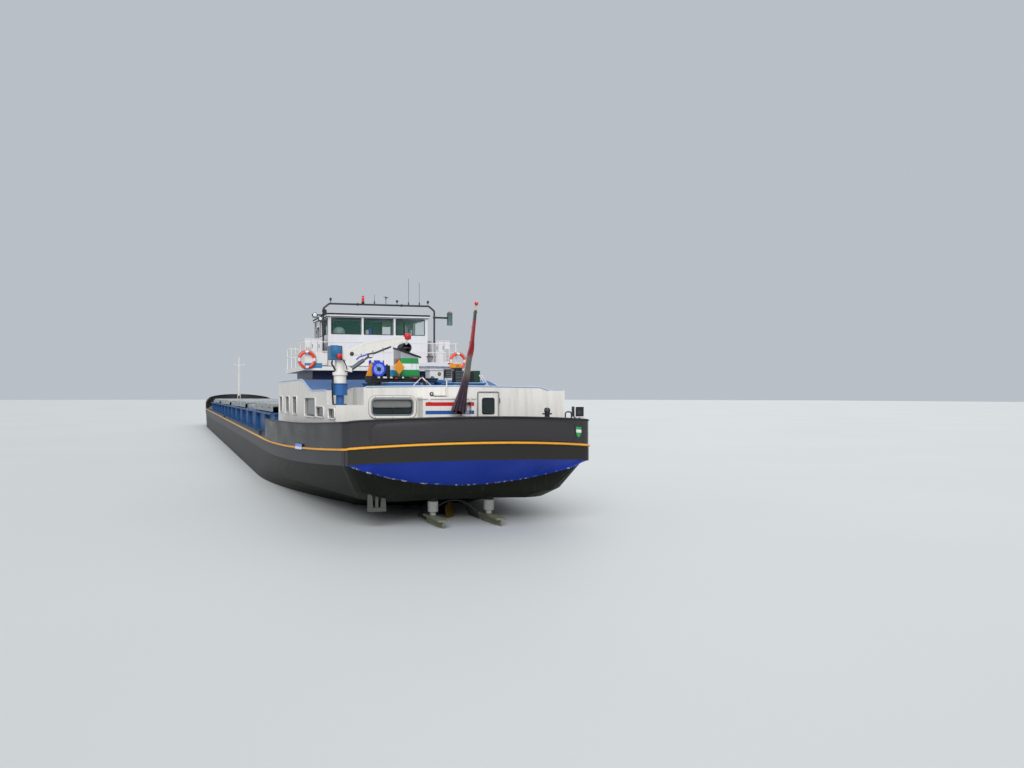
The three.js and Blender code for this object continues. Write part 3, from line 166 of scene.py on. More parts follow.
def bent(points, bend, steps=5):
    """A polyline whose corners are quadratic Bezier arcs that start and end at a distance bend from the
    corner."""
    points = np.asarray(points, float)
    if len(points) < 3:
        return points
    corner = points[1:-1]
    back = np.minimum(np.linalg.norm(points[:-2] - corner, axis=1), 2 * bend)[:, None] / 2
    on = np.minimum(np.linalg.norm(points[2:] - corner, axis=1), 2 * bend)[:, None] / 2
    start = corner + unit(points[:-2] - corner) * back
    end = corner + unit(points[2:] - corner) * on
    t = np.linspace(0, 1, steps)[None, :, None]
    arcs = start[:, None] * (1 - t) ** 2 + 2 * corner[:, None] * t * (1 - t) + end[:, None] * t**2
    return np.concatenate([points[:1], arcs.reshape(-1, 3), points[-1:]])


def sweep(path, section, up=None, closed=False):
    """A section carried along a path. The tangent is the central difference, the side is tangent x up, and
    a section point (a, b) lies at path + a side + b (side x tangent). Without up, the flattest direction
    serves."""
    path = np.asarray(path, float)
    ends = (path[-1:], path[:1]) if closed else (2 * path[:1] - path[1:2], 2 * path[-1:] - path[-2:-1])
    padded = np.concatenate([ends[0], path, ends[1]])
    tangent = unit(padded[2:] - padded[:-2])
    if up is None:
        up = np.linalg.svd(tangent)[2][-1]
    side = unit(np.cross(tangent, np.broadcast_to(up, path.shape)))
    over = np.cross(side, tangent)
    section = np.broadcast_to(section, (len(path),) + np.shape(section)[-2:])
    rings = path[:, None] + section[..., :1] * side[:, None] + section[..., 1:] * over[:, None]
    return skin(rings, closed)


def tube(points, radius, sides=8, bend=None):
    """A round bar along a polyline with rounded corners; radius may be one number or one for each path
    point."""
    path = bent(points, 3 * np.max(radius) if bend is None else bend)
    round_section = circle(1, sides)[None] * np.broadcast_to(radius, len(path))[:, None, None]
    return sweep(path, round_section)


def in_plane(plane, flat, height):
    """Outline points (a, b) at a height along the third axis: XY, XZ or YZ."""
    heights = np.broadcast_to(height, flat.shape[:-1])
    order = {"XY": (0, 1, 2), "XZ": (0, 2, 1), "YZ": (2, 0, 1)}[plane]
    columns = [flat[..., 0], flat[..., 1], heights]
    return np.stack([columns[i] for i in order], -1)


def inset(outline, by):
    """A closed outline moved inwards by the mitred normal: the mean of the two edge normals over its length
    squared."""
    before = unit(outline - np.roll(outline, 1, 0))
    after = unit(np.roll(outline, -1, 0) - outline)
    normal = (before + after) @ np.array([[0, 1], [-1, 0]]) / 2
    normal = normal / np.maximum((normal**2).sum(1, keepdims=True), 0.3)
    area = np.cross(outline, np.roll(outline, -1, 0)).sum()
    return outline + normal * by * np.sign(area)


def slab(plane, outline, low, high, bevel=0.0006):
    """A flat outline made thick between two heights, its four rings drawn in by a bevel at both faces."""
    outline = np.asarray(outline, float)
    drawn = inset(outline, bevel)
    heights = (low, low + bevel, high - bevel, high)
    return skin([in_plane(plane, ring, h) for ring, h in zip((drawn, outline, outline, drawn), heights)])


def block(x, y, z, radius=0.0015):
    """A box with rounded upright edges and bevelled faces, from its ranges along the three axes."""
    outline = rounded(x[1] - x[0], y[1] - y[0], min(radius, (x[1] - x[0]) / 2.2, (y[1] - y[0]) / 2.2), 3)
    return slab("XY", outline + (sum(x) / 2, sum(y) / 2), z[0], z[1], min(radius, (z[1] - z[0]) / 3) / 2)


def lathe(profile, at, axis, steps=24, closed=False):
    """A profile of (radius, distance along the axis) turned about the line through a point."""
    profile = np.asarray(profile, float)
    axis = unit(axis)
    side = unit(np.cross(axis, UP if abs(axis[2]) < 0.9 else AHEAD))
    over = np.cross(axis, side)
    ring = circle(1, steps)
    spokes = ring[:, :1] * side + ring[:, 1:] * over
    rings = np.asarray(at) + profile[:, :1, None] * spokes[None] + profile[:, 1:, None] * axis
    return skin(rings, closed)


def finely(outline, step):
    """A closed outline at even arc lengths no more than a step apart, by linear interpolation."""
    ring = np.concatenate([outline, outline[:1]])
    lengths = np.concatenate([[0], np.cumsum(np.linalg.norm(np.diff(ring, axis=0), axis=1))])
    at = np.linspace(0, lengths[-1], int(lengths[-1] / step) + 2)[:-1]
    return np.stack([np.interp(at, lengths, column) for column in ring.T], -1)


def frame_round(plane, size, centre, height, section, radius):
    """A bar carried round a rounded rectangle that lies in a plane at a height: a window or door frame."""
    path = in_plane(plane, rounded(*size, radius, 5) + centre, height)
    up = in_plane(plane, np.zeros(2), 1.0)
    return sweep(path, rounded(*section, min(section) * 0.3, 2), up=up, closed=True)


def opening_rim(plane, a, b, grow, height, section, radius):
    """A frame round an opening, from its ranges along the plane's two axes, made larger by a length."""
    size, centre = (a[1] - a[0] + grow, b[1] - b[0] + grow), (sum(a) / 2, sum(b) / 2)
    return frame_round(plane, size, centre, height, section, radius)


def round_rim(plane, radius, centre, height, thick, steps=(36, 8), stretch=(1, 1)):
    """A round bar carried round a circle that lies in a plane at a height."""
    path = in_plane(plane, circle(radius, steps[0]) * stretch + centre, height)
    return sweep(path, circle(thick, steps[1]), up=in_plane(plane, np.zeros(2), 1.0), closed=True)


def ball(at, radius, steps=12, squash=1.0):
    """A sphere as a turned half circle: radius sin a, height -radius cos a times squash."""
    angle = np.linspace(0.06, np.pi - 0.06, steps // 2 + 2)
    profile = np.stack([radius * np.sin(angle), -radius * squash * np.cos(angle)], -1)
    return lathe(profile, at, UP, steps)


# Finishes


class Term:
    """One socket of a finish's node tree. Python's operators on it add Math nodes."""

    def __init__(self, finish, socket):
        self.finish = finish
        self.socket = socket

    def maths(self, operation, *values, clamp=False):
        settings = {"operation": operation, "use_clamp": clamp}
        return self.finish.node("ShaderNodeMath", settings, dict(enumerate(values)))

    def __add__(self, other):
        return self.maths("ADD", self, other)

    def __sub__(self, other):
        return self.maths("SUBTRACT", self, other)

    def __rsub__(self, other):
        return self.maths("SUBTRACT", other, self)

    def __mul__(self, other):
        return self.maths("MULTIPLY", self, other)

    def __truediv__(self, other):
        return self.maths("DIVIDE", self, other)

    def __pow__(self, other):
        return self.maths("POWER", self, other)

    def __abs__(self):
        return self.maths("ABSOLUTE", self)

    def least(self, other):
        return self.maths("MINIMUM", self, other)

    def most(self, other):
        return self.maths("MAXIMUM", self, other)

    def above(self, edge, soft=0.0008):
        """0 below the edge and 1 above it, clamp((value - edge) / soft + 1/2)."""
        return self.maths("MULTIPLY_ADD", self - edge, 1 / soft, 0.5, clamp=True)

    def within(self, low, high, soft=0.0008):
        """1 between two edges and 0 outside them."""
        return self.above(low, soft) * (1 - self.above(high, soft))

    def under(self, colour, mask):
        """This colour where the mask is 0, and another where it is 1."""
        return self.finish.mix(self, colour, mask)

    __radd__ = __add__
    __rmul__ = __mul__


class Finish:
    """A material. Constants sit on the shader's own sockets; what changes over the surface is linked. A
    colour is three linear numbers or a hex code."""

    def __init__(self, name, **constants):
        self.material = bpy.data.materials.new(name)
        self.material.use_nodes = True
        self.tree = self.material.node_tree
        self.shader = next(n for n in self.tree.nodes if n.type == "BSDF_PRINCIPLED")
        for socket, value in constants.items():
            self.set(socket.replace("_", " "), value)
        self.place = self.node("ShaderNodeTexCoord", out="Object")
        self.x, self.y, self.z = (
            self.node("ShaderNodeSeparateXYZ", None, {0: self.place}, out=axis) for axis in "XYZ"
        )

    def node(self, kind, settings=None, values=None, out=0):
        """Adds a node, sets its settings first, then its sockets' values or links, and gives one output."""
        made = self.tree.nodes.new(kind)
        for name, value in (settings or {}).items():
            setattr(made, name, value)
        for key, value in (values or {}).items():
            self.feed(made.inputs[key], value)
        return Term(self, made.outputs[out])

    def feed(self, socket, value):
        if isinstance(value, Term):
            self.tree.links.new(value.socket, socket)
        elif socket.type == "RGBA":
            socket.default_value = (*(linear(value) if isinstance(value, str) else value), 1)
        else:
            socket.default_value = value

    def set(self, socket, value):
        self.feed(self.shader.inputs[socket], value)

    def mix(self, base, over, mask):
        """base where the mask is 0 and over where it is 1."""
        return self.node("ShaderNodeMix", {"data_type": "RGBA"}, {0: mask, 6: base, 7: over}, out=2)

    def noise(self, scale, detail=4.0, stretch=(1, 1, 1), rough=0.55):
        """Fractal noise from 0 to 1 on the object's own coordinates, which stretch scales axis by axis."""
        place = self.node(
            "ShaderNodeMapping", {"vector_type": "POINT"}, {"Vector": self.place, "Scale": stretch}
        )
        values = {"Vector": place, "Scale": scale, "Detail": detail, "Roughness": rough}
        return self.node("ShaderNodeTexNoise", None, values)

    def rain(self, edge=0.6, soft=0.25):
        """Streaks that run down a wall."""
        return self.noise(9.0, 4, stretch=(6, 6, 0.7)).above(edge, soft)

    def spots(self, scale, edge, rough=0.72):
        """Small sharp spots where a rough noise is above an edge."""
        return self.noise(scale, 6, rough=rough).above(edge, 0.02)

    def facing_up(self):
        """The upward part of the surface's normal."""
        normal = self.node("ShaderNodeNewGeometry", out="Normal")
        return self.node("ShaderNodeSeparateXYZ", None, {0: normal}, "Z")

    def coated(self, colour, roughness, *bump):
        """Links a colour, a roughness and the three values of a bump, and gives the finish back."""
        self.set("Base Color", colour)
        self.set("Roughness", roughness)
        self.bump(*bump)
        return self

    def bump(self, height, strength, distance):
        """Links a height to the shader's normal through a Bump node."""
        values = {"Strength": strength, "Distance": distance, "Height": height}
        self.set("Normal", self.node("ShaderNodeBump", None, values, out="Normal"))


def weathered(
    name, colour, rough=0.5, grime=0.3, streaks=0.25, rust=0.0, metal=0.0, fine=180.0, depth=0.0004
):
    """Ship's paint: slow changes of tone, fine mottling, rain streaks down the sides and rust in the worst
    spots."""
    finish = Finish(name, Metallic=metal)
    tone = finish.noise(2.2, 3)
    mottle = finish.noise(fine, 3)
    runs = finish.rain()
    dark = tuple(c * (1 - grime) for c in colour)
    base = finish.mix(colour, dark, tone.above(0.5, 0.5) * 0.6 + mottle * 0.3)
    dirt = tuple(0.55 * c + 0.45 * d for c, d in zip(dark, linear("5a5348")))
    base = base.under(dirt, runs * streaks)
    wear = mottle * 0.25
    if rust:
        spots = finish.spots(38, 0.74 - rust * 0.08, 0.7)
        base = base.under("6e3a1e", spots)
        wear = wear + spots * 0.3
    return finish.coated(base, wear + (rough - 0.1), mottle * 0.5 + finish.noise(7, 2), 0.35, depth)


# The ship's outline in plan

PLAN = {
    "stern": 0.008,
    "camber": 0.075,
    "corner": 0.046,
    "stern_half": 0.399,
    "full_at": 1.4,
    "half": 0.467,
    "bow_from": 7.6,
    "stem": 8.592,
    "full": 0.86,
}
BAND_OUT = 0.008
# Where the sides' run and the rise towards the stem begin, from the stern, and how long they are
SHEER = {"half": 0.399, "run_from": 0.083, "run": 1.317, "rise_from": 6.6, "rise": 2.0}
RUDDER = {"x": -4.115, "y": 0.0935}


def plan_half(
    stern, camber, corner, stern_half, full_at, half, bow_from, stem, full, steps=(24, 8, 40, 48)
):
    """The port half of a level from the stern's middle to the stem: stern + camber t^2 across the transom, a
    quarter circle, half - (half - stern_half) (1 - t)^2 along the run, and half cos^full a round the bow."""
    flat = stern_half - corner
    across, turn, along, bow = (np.linspace(0, 1, n) for n in steps)
    centre = stern + camber + corner
    angle = turn * np.pi / 2
    pieces = [
        np.stack([stern + camber * across**2, flat * across], -1),
        np.stack([centre - corner * np.cos(angle), flat + corner * np.sin(angle)], -1)[1:],
        np.stack(
            [centre + (full_at - centre) * along, half - (half - stern_half) * (1 - along) ** 2], -1
        )[1:],
        np.stack(
            [
                bow_from + (stem - bow_from) * np.sin(bow * np.pi / 2),
                half * np.maximum(np.cos(bow * np.pi / 2), 0) ** full
            ], -1
        )
    ]
    return np.concatenate(pieces) + (STERN_X, 0)


def moved_out(path, distance):
    """A path in plan moved to the left of its own direction."""
    tangent = unit(np.gradient(path, axis=0))
    return path + distance * tangent @ np.array([[0, 1], [-1, 0]])


def stern_edge(y, out=0.0):
    """The transom in plan: x = stern + camber (y / flat)^2, moved out along its normal."""
    y = np.asarray(y, float)
    flat = PLAN["stern_half"] - PLAN["corner"]
    slope = 2 * PLAN["camber"] * y / flat**2
    normal = unit(np.stack([-np.ones_like(y), slope], -1))
    base = np.stack([STERN_X + PLAN["stern"] + PLAN["camber"] * (y / flat) ** 2, y], -1)
    return base + out * normal


def deck_edge(x, y):
    """Height of the gunwale band's top: cambered over the transom, parabolic along the side, rising to the
    stem."""
    from_stern = x - STERN_X
    transom = 0.395 - 0.019 * np.clip(np.abs(y) / SHEER["half"], 0, 1) ** 2
    run = np.clip((from_stern - SHEER["run_from"]) / SHEER["run"], 0, 1)
    rise = np.clip((from_stern - SHEER["rise_from"]) / SHEER["rise"], 0, 1)
    side = 0.33 + 0.046 * (1 - run) ** 2 + 0.11 * rise**2
    return np.where(from_stern <= 0.093, transom, side)


def aft_bulwark(x):
    """Height of the aft bulwark over the band, growing from the transom to its forward end."""
    from_stern = x - STERN_X
    transom = 0.073 + 0.005 * np.clip(from_stern / 0.09, 0, 1)
    return transom + 0.014 * np.clip((from_stern - 0.09) / 0.9, 0, 1)


def fore_bulwark(x):
    """Height of the fore bulwark over the band, growing from its after end to its full height in half a
    metre."""
    return 0.06 + 0.044 * np.clip((x - STERN_X - 7.7) / 0.5, 0, 1)


SIDE_LINE = plan_half(**PLAN)
SIDE_LENGTHS = np.concatenate([[0], np.cumsum(np.linalg.norm(np.diff(SIDE_LINE, axis=0), axis=1))])
SIDE_NORMALS = moved_out(SIDE_LINE, 1.0) - SIDE_LINE


def length_at(x):
    """Arc length of the outline from the stern's middle to where it reaches x."""
    return float(np.interp(x, SIDE_LINE[:, 0], SIDE_LENGTHS))


def along_side(distance, out=0.0):
    """The outline's point at an arc length from the stern's middle, moved out along its normal. A negative
    length lies to starboard."""
    distance = np.asarray(distance, float)
    base, normal = (
        np.stack([np.interp(np.abs(distance), SIDE_LENGTHS, rows[:, axis]) for axis in (0, 1)], -1)
        for rows in (SIDE_LINE, SIDE_NORMALS)
    )
    place = base + np.asarray(out, float)[..., None] * unit(normal)
    return place * np.stack([np.ones_like(distance), np.where(distance < 0, -1.0, 1.0)], -1)


def on_side(flat, at, height, out):
    """Outline points (a, b) laid on the topside: a runs along the outline in plan and b up from the band's
    top."""
    place = along_side(at + flat[..., 0], out)
    z = deck_edge(place[..., 0], place[..., 1]) + height + flat[..., 1]
    return np.concatenate([place, z[..., None]], -1)


def side_plate(outline, at, height, out, thick=0.0012):
    """A small plate that follows the topside, with edges drawn in by half its thickness."""
    drawn = inset(outline, thick / 2)
    steps = ((drawn, 0), (outline, thick / 2), (drawn, thick))
    return skin([on_side(ring, at, height, out + rise) for ring, rise in steps])


# Making pieces


def piece(name, slot, parts=(), body="ship", sharp=38.0, **coats):
    """One object from skins: parts pairs each with its finish, and every other keyword names a finish and
    lists its skins. Its place is in its mesh, and it rides on a body if one is named."""
    parts = [*parts, *(part for finish, shapes in coats.items() for part in painted(finish, *shapes))]
    finishes = []
    points, corners, sizes, paints = [], [], [], []
    count = 0
    for (vertices, groups), finish in parts:
        if finish not in finishes:
            finishes.append(finish)
        for group in groups:
            corners.append((group + count).ravel())
            sizes.append(np.full(len(group), group.shape[1]))
            paints.append(np.full(len(group), finishes.index(finish)))
        points.append(vertices)
        count += len(vertices)
    sizes = np.concatenate(sizes)
    mesh = bpy.data.meshes.new(name)
    mesh.vertices.add(count)
    mesh.vertices.foreach_set("co", np.concatenate(points).ravel())
    mesh.loops.add(int(sizes.sum()))
    mesh.loops.foreach_set("vertex_index", np.concatenate(corners))
    mesh.polygons.add(len(sizes))
    mesh.polygons.foreach_set("loop_start", np.concatenate([[0], np.cumsum(sizes)[:-1]]))
    mesh.polygons.foreach_set("material_index", np.concatenate(paints))
    mesh.update(calc_edges=True)
    mesh.validate()
    mesh.shade_smooth()
    mesh.set_sharp_from_angle(angle=math.radians(sharp))
    made = bpy.data.objects.new(name, mesh)
    bpy.context.scene.collection.objects.link(made)
    for finish in finishes:
        mesh.materials.append(finish.material)
    if body:
        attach(made, body)
    return made


def painted(finish, *shapes):
    """Several skins in one finish."""
    return [(shape, FINISHES[finish]) for shape in shapes]


def dress(finish, *nodes):
    """Gives CAD nodes a finish through their material slots."""
    for node in nodes:
        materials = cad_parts[node].data.materials
        materials.clear()
        materials.append(finish.material)


# Paint colours and finishes that several operators share


def colour_property(name, code, description):
    return FloatVectorProperty(
        name=name, description=description, default=linear(code), subtype="COLOR", size=3, min=0, max=1
    )


class BargePaints(bpy.types.PropertyGroup):
    """Colours of the ship's paints."""

    house_white: colour_property("House white", "e6e2dc", "Deckhouse, wheelhouse and masts")
    topside_grey: colour_property("Topside grey", "353335", "Bulwark and rubbing strake")
    counter_blue: colour_property("Counter blue", "2743ae", "Raked plating under the transom")
    roof_blue: colour_property("Roof blue", "1f5a96", "Hatches and deck gear on the roof")
    band_yellow: colour_property("Band yellow", "f0a92e", "Stripe along the gunwale")
    bottom_olive: colour_property("Bottom olive", "20221c", "Plating below the knuckle")
    deck_grey: colour_property("Deck grey", "6a6f70", "Walked surfaces")
    machine_teal: colour_property("Machine teal", "1f6c99", "Crane head and windlass")
    funnel_green: colour_property("Funnel green", "1fa050", "Funnel bands")
    signal_red: colour_property("Signal red", "c8141f", "Locker stripe, flag and lamps")
    ring_orange: colour_property("Ring orange", "f0401a", "Lifebuoys")


# Plain paints: material, colour or paint, roughness, grime, streaks, rust, metal, fineness and bump depth
PLAIN_PAINTS = {
    "white": ("house_white", "house_white", 0.42, 0.12, 0.22, 0.1),
    "cabin_white": ("cabin_white", "dfdde0", 0.38, 0.08, 0.12),
    "cream": ("weathered_white", "d6cfc2", 0.5, 0.25, 0.5, 0.5),
    "topside": ("topside_grey", "topside_grey", 0.3, 0.3, 0.2, 0, 0, 180, 0.0006),
    "black": ("black_trim", "17181a", 0.45, 0.3, 0.1),
    "rubber": ("rubber", "101112", 0.7, 0.2, 0),
    "yellow": ("band_yellow", "band_yellow", 0.4, 0.2, 0.25, 0.4),
    "roof_blue": ("roof_blue", "roof_blue", 0.45, 0.3, 0.2, 0.3),
    "teal": ("machine_teal", "machine_teal", 0.4, 0.3, 0.3, 0.3),
    "steel": ("dull_steel", "74777a", 0.45, 0.3, 0.25, 0.3, 0.7),
    "dark_steel": ("dark_steel", "3f4245", 0.5, 0.3, 0.25, 0.3, 0.4),
    "bronze": ("bronze", "a07a40", 0.35, 0.3, 0, 0, 0.85),
    "grey": ("grey_paint", "80868a", 0.55, 0.3, 0.25, 0.4),
    "red": ("signal_red", "signal_red", 0.35, 0.2, 0.1),
    "green": ("signal_green", "funnel_green", 0.4, 0.2, 0.1),
    "royal": ("reel_royal_blue", "1c3cc4", 0.32, 0.2, 0.1),
    "pale_blue": ("pale_blue", "6f8df0", 0.35, 0.15, 0.1),
    "amber": ("amber", "f29a22", 0.4, 0.2, 0.15),
    "ring_orange": ("ring_orange", "ring_orange", 0.42, 0.12, 0.05),
    "canvas": ("canvas", "c9c4b8", 0.85, 0.25, 0.3, 0, 0, 700),
    "olive_box": ("lantern_grey_green", "4f6b66", 0.45, 0.2),
    "rope": ("rope", "8f8468", 0.9, 0.4, 0.25, 0, 0, 900),
    "blind": ("blind", "d8d6cf", 0.7, 0.2, 0.1, 0, 0, 500),
    "rim": ("pale_blue_rim", "a9bfdc", 0.4, 0.2, 0.1, 0.2),
    "pale_teal": ("pale_teal", "2f86b4", 0.4, 0.2, 0.1),
    "galvanised": ("galvanised", "484c43", 0.55, 0.4, 0.4, 0.5),
    "magenta": ("magenta", "b0246a", 0.4, 0.2, 0),
    "dark_green": ("dark_green", "17402c", 0.5, 0.3, 0.1),
    "boom": ("boom_cream", "e2ded6", 0.38, 0.1, 0.15, 0.15),
    # Painted shade: the dark teal of the cabinet that stands for the shade inside the wheelhouse
    "teal_dark": ("cabinet_shade_teal", "123038", 0.5, 0.2, 0),
    "seat_grey": ("seat_grey", "7d8c88", 0.8, 0.2, 0, 0, 0, 600),
}


def make_finishes(paints):
    """Every finish by name."""
    shared = {
        "glow_red": Finish("red_glass", Base_Color="e01414", Roughness=0.12, Coat_Weight=0.6),
        "lamp_glass": Finish("lamp_glass", Base_Color="d8dee0", Roughness=0.08, Coat_Weight=0.8)
    }
    for key, (name, colour, *looks) in PLAIN_PAINTS.items():
        colour = getattr(paints, colour) if hasattr(paints, colour) else linear(colour)
        shared[key] = weathered(name, colour, *looks)
    shared["glass"] = window_glass("tinted_glass", "1c2f31", "30484a", 0.22)
    shared["dark_glass"] = window_glass("dark_glass", "14191a", "1f2526", 0.6)
    shared["cabin_glass"] = window_glass("cabin_glass", "4fb494", "8fdcc0", 0.02, 0.06)
    shared["hull"] = hull_coating(paints)
    shared["cover"] = cover_metal()
    shared["funnel"] = funnel_bands(paints)
    shared["locker"] = locker_stripes(paints)
    shared["reel"] = reel_disc()
    shared["bulwark"] = bulwark_gloss(paints)
    shared["rudder"] = rudder_coating(paints)
    shared["house"] = house_paint(paints)
    shared["upper_deck"] = upper_deck_paint(paints)
    shared["crane"] = crane_paint(paints)
    shared["staff"] = staff_paint(paints)
    shared["flag"] = flag_weave(paints)
    return shared


def window_glass(name, low, high, clear, clouds=0.12):
    """Tinted glass: clear enough to see through, darker in slow clouds, with a hard gloss."""
    finish = Finish(name, Roughness=0.06, IOR=1.5, Coat_Weight=0.3)
    cloud = finish.noise(6, 2)
    finish.set("Base Color", finish.mix(low, high, cloud))
    finish.set("Alpha", cloud * clouds + clear)
    return finish


def hull_coating(paints):
    """Each level of the hull in its own paint, told apart by height, by place and by which way a face looks,
    with painted light mixed in: painted shade on the bottom along the sides, a strake lighter on the lit sides
    than on the shaded transom, and a painted reflection of the water in pale streaks on the bottom."""
    finish = Finish("hull_coating", Specular_IOR_Level=0.07)
    x, y, z = finish.x, finish.y, finish.z
    from_stern = x - STERN_X
    facing = finish.facing_up()
    across = (abs(y) / SHEER["half"]).least(1.0) ** 2
    run = 1 - ((from_stern - SHEER["run_from"]) / SHEER["run"]).least(1.0).most(0.0)
    rise = ((from_stern - SHEER["rise_from"]) / SHEER["rise"]).most(0.0)
    is_transom = 1 - from_stern.above(0.094, 0.002)
    # The strake's lower edge and the knuckle under the transom, at the heights of the hull's own levels
    strake_side = run * run * 0.051 + rise * rise * 0.097 + 0.275
    strake_low = (0.341 - across * 0.015 - strake_side) * is_transom + strake_side
    knuckle = (abs(y) / 0.394).least(1.0) ** 2 * 0.073 + 0.252
    tone = finish.noise(3.0, 4)
    mottle = finish.noise(150, 4)
    scratch_and_reflection = finish.noise(14, 6, stretch=(9, 9, 0.5), rough=0.7)
    olive = paints.bottom_olive
    slime = finish.mix(olive, "171914", tone.above(0.5, 0.4))
    # Pale vertical streaks on the bottom: painted reflection of the water, together with real scratches.
    slime = slime.under("3c3c33", scratch_and_reflection.above(0.62, 0.12) * 0.4)
    weed = (1 - z.above(WATERLINE + 0.012, 0.02)) * 0.6
    base = finish.mix(slime, "2f3a26", weed)
    # Painted shade: the bottom along the sides is darkened, away from the transom.
    base = base.under("10110e", from_stern.above(0.2, 0.05) * 0.62)
    blue = finish.mix(paints.counter_blue, "1b2f86", tone.above(0.55, 0.3) * 0.7)
    blue = blue.under("4a5aa0", scratch_and_reflection.above(0.66, 0.06) * 0.5)
    on_counter = z.above(knuckle, 0.002) * (1 - from_stern.above(0.178, 0.006))
    base = base.under(blue, on_counter)
    chipped = finish.noise(60, 5, stretch=(1, 1, 0.6), rough=0.75).above(0.57, 0.04)
    worn_line = (z - knuckle).within(-0.001, 0.0035, 0.0012) * chipped * (1 - from_stern.above(0.18, 0.01))
    base = base.under("c9cad0", worn_line)
    # Painted light and shade: the strake is lighter along the lit sides and darker across the shaded transom.
    lit_side_grey = finish.mix("49484b", "363537", tone)
    seams = finish.node("ShaderNodeMath", {"operation": "FRACT"}, {0: x / 0.42})
    lit_side_grey = lit_side_grey.under("2c2b2d", seams.within(0.0, 0.008, 0.004))
    strake = finish.mix(lit_side_grey, "2f2e2b", is_transom)
    strake = strake.under("5e5850", scratch_and_reflection.above(0.68, 0.05) * 0.35)
    base = base.under(strake, z.above(strake_low, 0.0015))
    deck = finish.mix(paints.deck_grey, "4f5452", tone)
    on_deck = facing.above(0.75, 0.1) * z.above(0.2, 0.01)
    base = base.under(deck, on_deck)
    rust = finish.spots(45, 0.71) * 0.8
    base = base.under("6b3a20", rust)
    trunk = ((x - RUDDER["x"]) ** 2 + (abs(y) - RUDDER["y"]) ** 2) ** 0.5
    primed = (1 - trunk.above(0.0185, 0.001)) * (1 - z.above(0.2, 0.004))
    base = base.under(finish.mix("a6a7a3", "6f716c", mottle), primed)
    rough = mottle * 0.2 + rust * 0.3 + on_deck * 0.2 + 0.3
    return finish.coated(base, rough, mottle * 0.3 + finish.noise(4.5, 2), 0.4, 0.002)


def bulwark_gloss(paints):
    """Glossy dark grey topsides with faint plate waves, dull patches, a few scuffs and painted shade on the
    side faces.
    """
    finish = Finish("bulwark_gloss", Specular_IOR_Level=0.12)
    tone = finish.noise(3.4, 3)
    scuff = finish.noise(30, 6, stretch=(1, 1, 3), rough=0.7).above(0.66, 0.05)
    patches = finish.noise(4, 3, stretch=(1.5, 1.5, 3)).above(0.5, 0.5)
    grey = paints.topside_grey
    base = finish.mix(grey, tuple(1.35 * c for c in grey), tone)
    base = base.under("55504e", scuff * 0.35)
    # Painted shade: the bulwark's side faces are darkened, and the transom keeps its grey.
    base = base.under("191a17", abs(finish.y).above(0.425, 0.012) * 0.65)
    rust = finish.spots(50, 0.73)
    return finish.coated(
        finish.mix(base, "6b3a20", rust * 0.7), patches * 0.18 + scuff * 0.2 + 0.2, finish.noise(5, 2), 0.5,
        0.003
    )


def house_paint(paints):
    """White walls with rain streaks, and a worn blue on every face that looks up."""
    finish = Finish("house_paint")
    facing = finish.facing_up()
    tone = finish.noise(2.4, 3)
    mottle = finish.noise(170, 3)
    runs = finish.rain()
    white = finish.mix(paints.house_white, "c9c4bb", tone.above(0.55, 0.4) * 0.4 + mottle * 0.15)
    white = white.under("958c7e", runs * 0.22)
    blue = finish.mix(paints.roof_blue, "163f6c", tone)
    blue = blue.under("6d7f8c", mottle.above(0.62, 0.1) * 0.4)
    up = facing.above(0.6, 0.1) * finish.z.above(0.5, 0.005)
    base = finish.mix(white, blue, up)
    rust = finish.spots(42, 0.72, 0.7)
    return finish.coated(
        finish.mix(base, "6e3a1e", rust * 0.7), mottle * 0.2 + up * 0.15 + 0.35,
        mottle * 0.5 + finish.noise(7, 2), 0.35, 0.0006
    )


def upper_deck_paint(paints):
    """White deck edge and a navy wall under it, its blue darkened with painted shade from the deck above."""
    finish = Finish("upper_deck_paint")
    mottle = finish.noise(150, 4)
    runs = finish.rain()
    white = finish.mix(paints.house_white, "b9b6b2", runs * 0.4)
    # Navy paint with painted shade: the wall under the deck is given the dark colour of its shade.
    shaded_navy = finish.mix("1d2c58", "131d3a", mottle)
    return finish.coated(
        finish.mix(white, shaded_navy, 1 - finish.z.above(0.6347)), mottle * 0.2 + 0.3, mottle, 0.2, 0.0004
    )


def rudder_coating(paints):
    """Pale primer on the stock above the blade, and an olive with growth on the blade."""
    finish = Finish("rudder_coating", Specular_IOR_Level=0.25)
    tone = finish.noise(20, 5)
    growth = finish.noise(80, 5, rough=0.7).above(0.58, 0.1)
    base = finish.mix("5d5f4e", "7d7f6a", tone)
    base = base.under("5f6a3e", growth * 0.4)
    trunk = finish.z.above(0.1585, 0.002)
    base = base.under(finish.mix("b9bab6", "7e807b", tone), trunk)
    return finish.coated(base, tone * 0.2 + 0.5, growth * 0.5 + tone, 0.4, 0.001)


def crane_paint(paints):
    """Blue foot, white post and a teal winch case, told apart by height and by place."""
    finish = Finish("crane_paint", Coat_Weight=0.15)
    mottle = finish.noise(190, 3)
    chips = finish.spots(60, 0.68)
    base = finish.mix(paints.house_white, "bdb7ac", mottle * 0.5)
    base = base.under(paints.roof_blue, 1 - finish.z.above(0.566))
    winch = finish.y.above(0.3595) * finish.z.above(0.6425)
    base = base.under(finish.mix(paints.machine_teal, "124a6b", mottle), winch)
    return finish.coated(finish.mix(base, "6e4a34", chips * 0.6), mottle * 0.2 + 0.3, mottle, 0.3, 0.0005)


def staff_paint(paints):
    """Cream varnish on the staff and a red knob."""
    finish = Finish("staff_paint", Coat_Weight=0.3)
    grain = finish.noise(90, 4, stretch=(8, 8, 0.6))
    base = finish.mix("d9d2bf", "b7ab90", grain)
    base = base.under(paints.signal_red, finish.z.above(0.7955))
    return finish.coated(base, grain * 0.2 + 0.3, grain, 0.3, 0.0004)


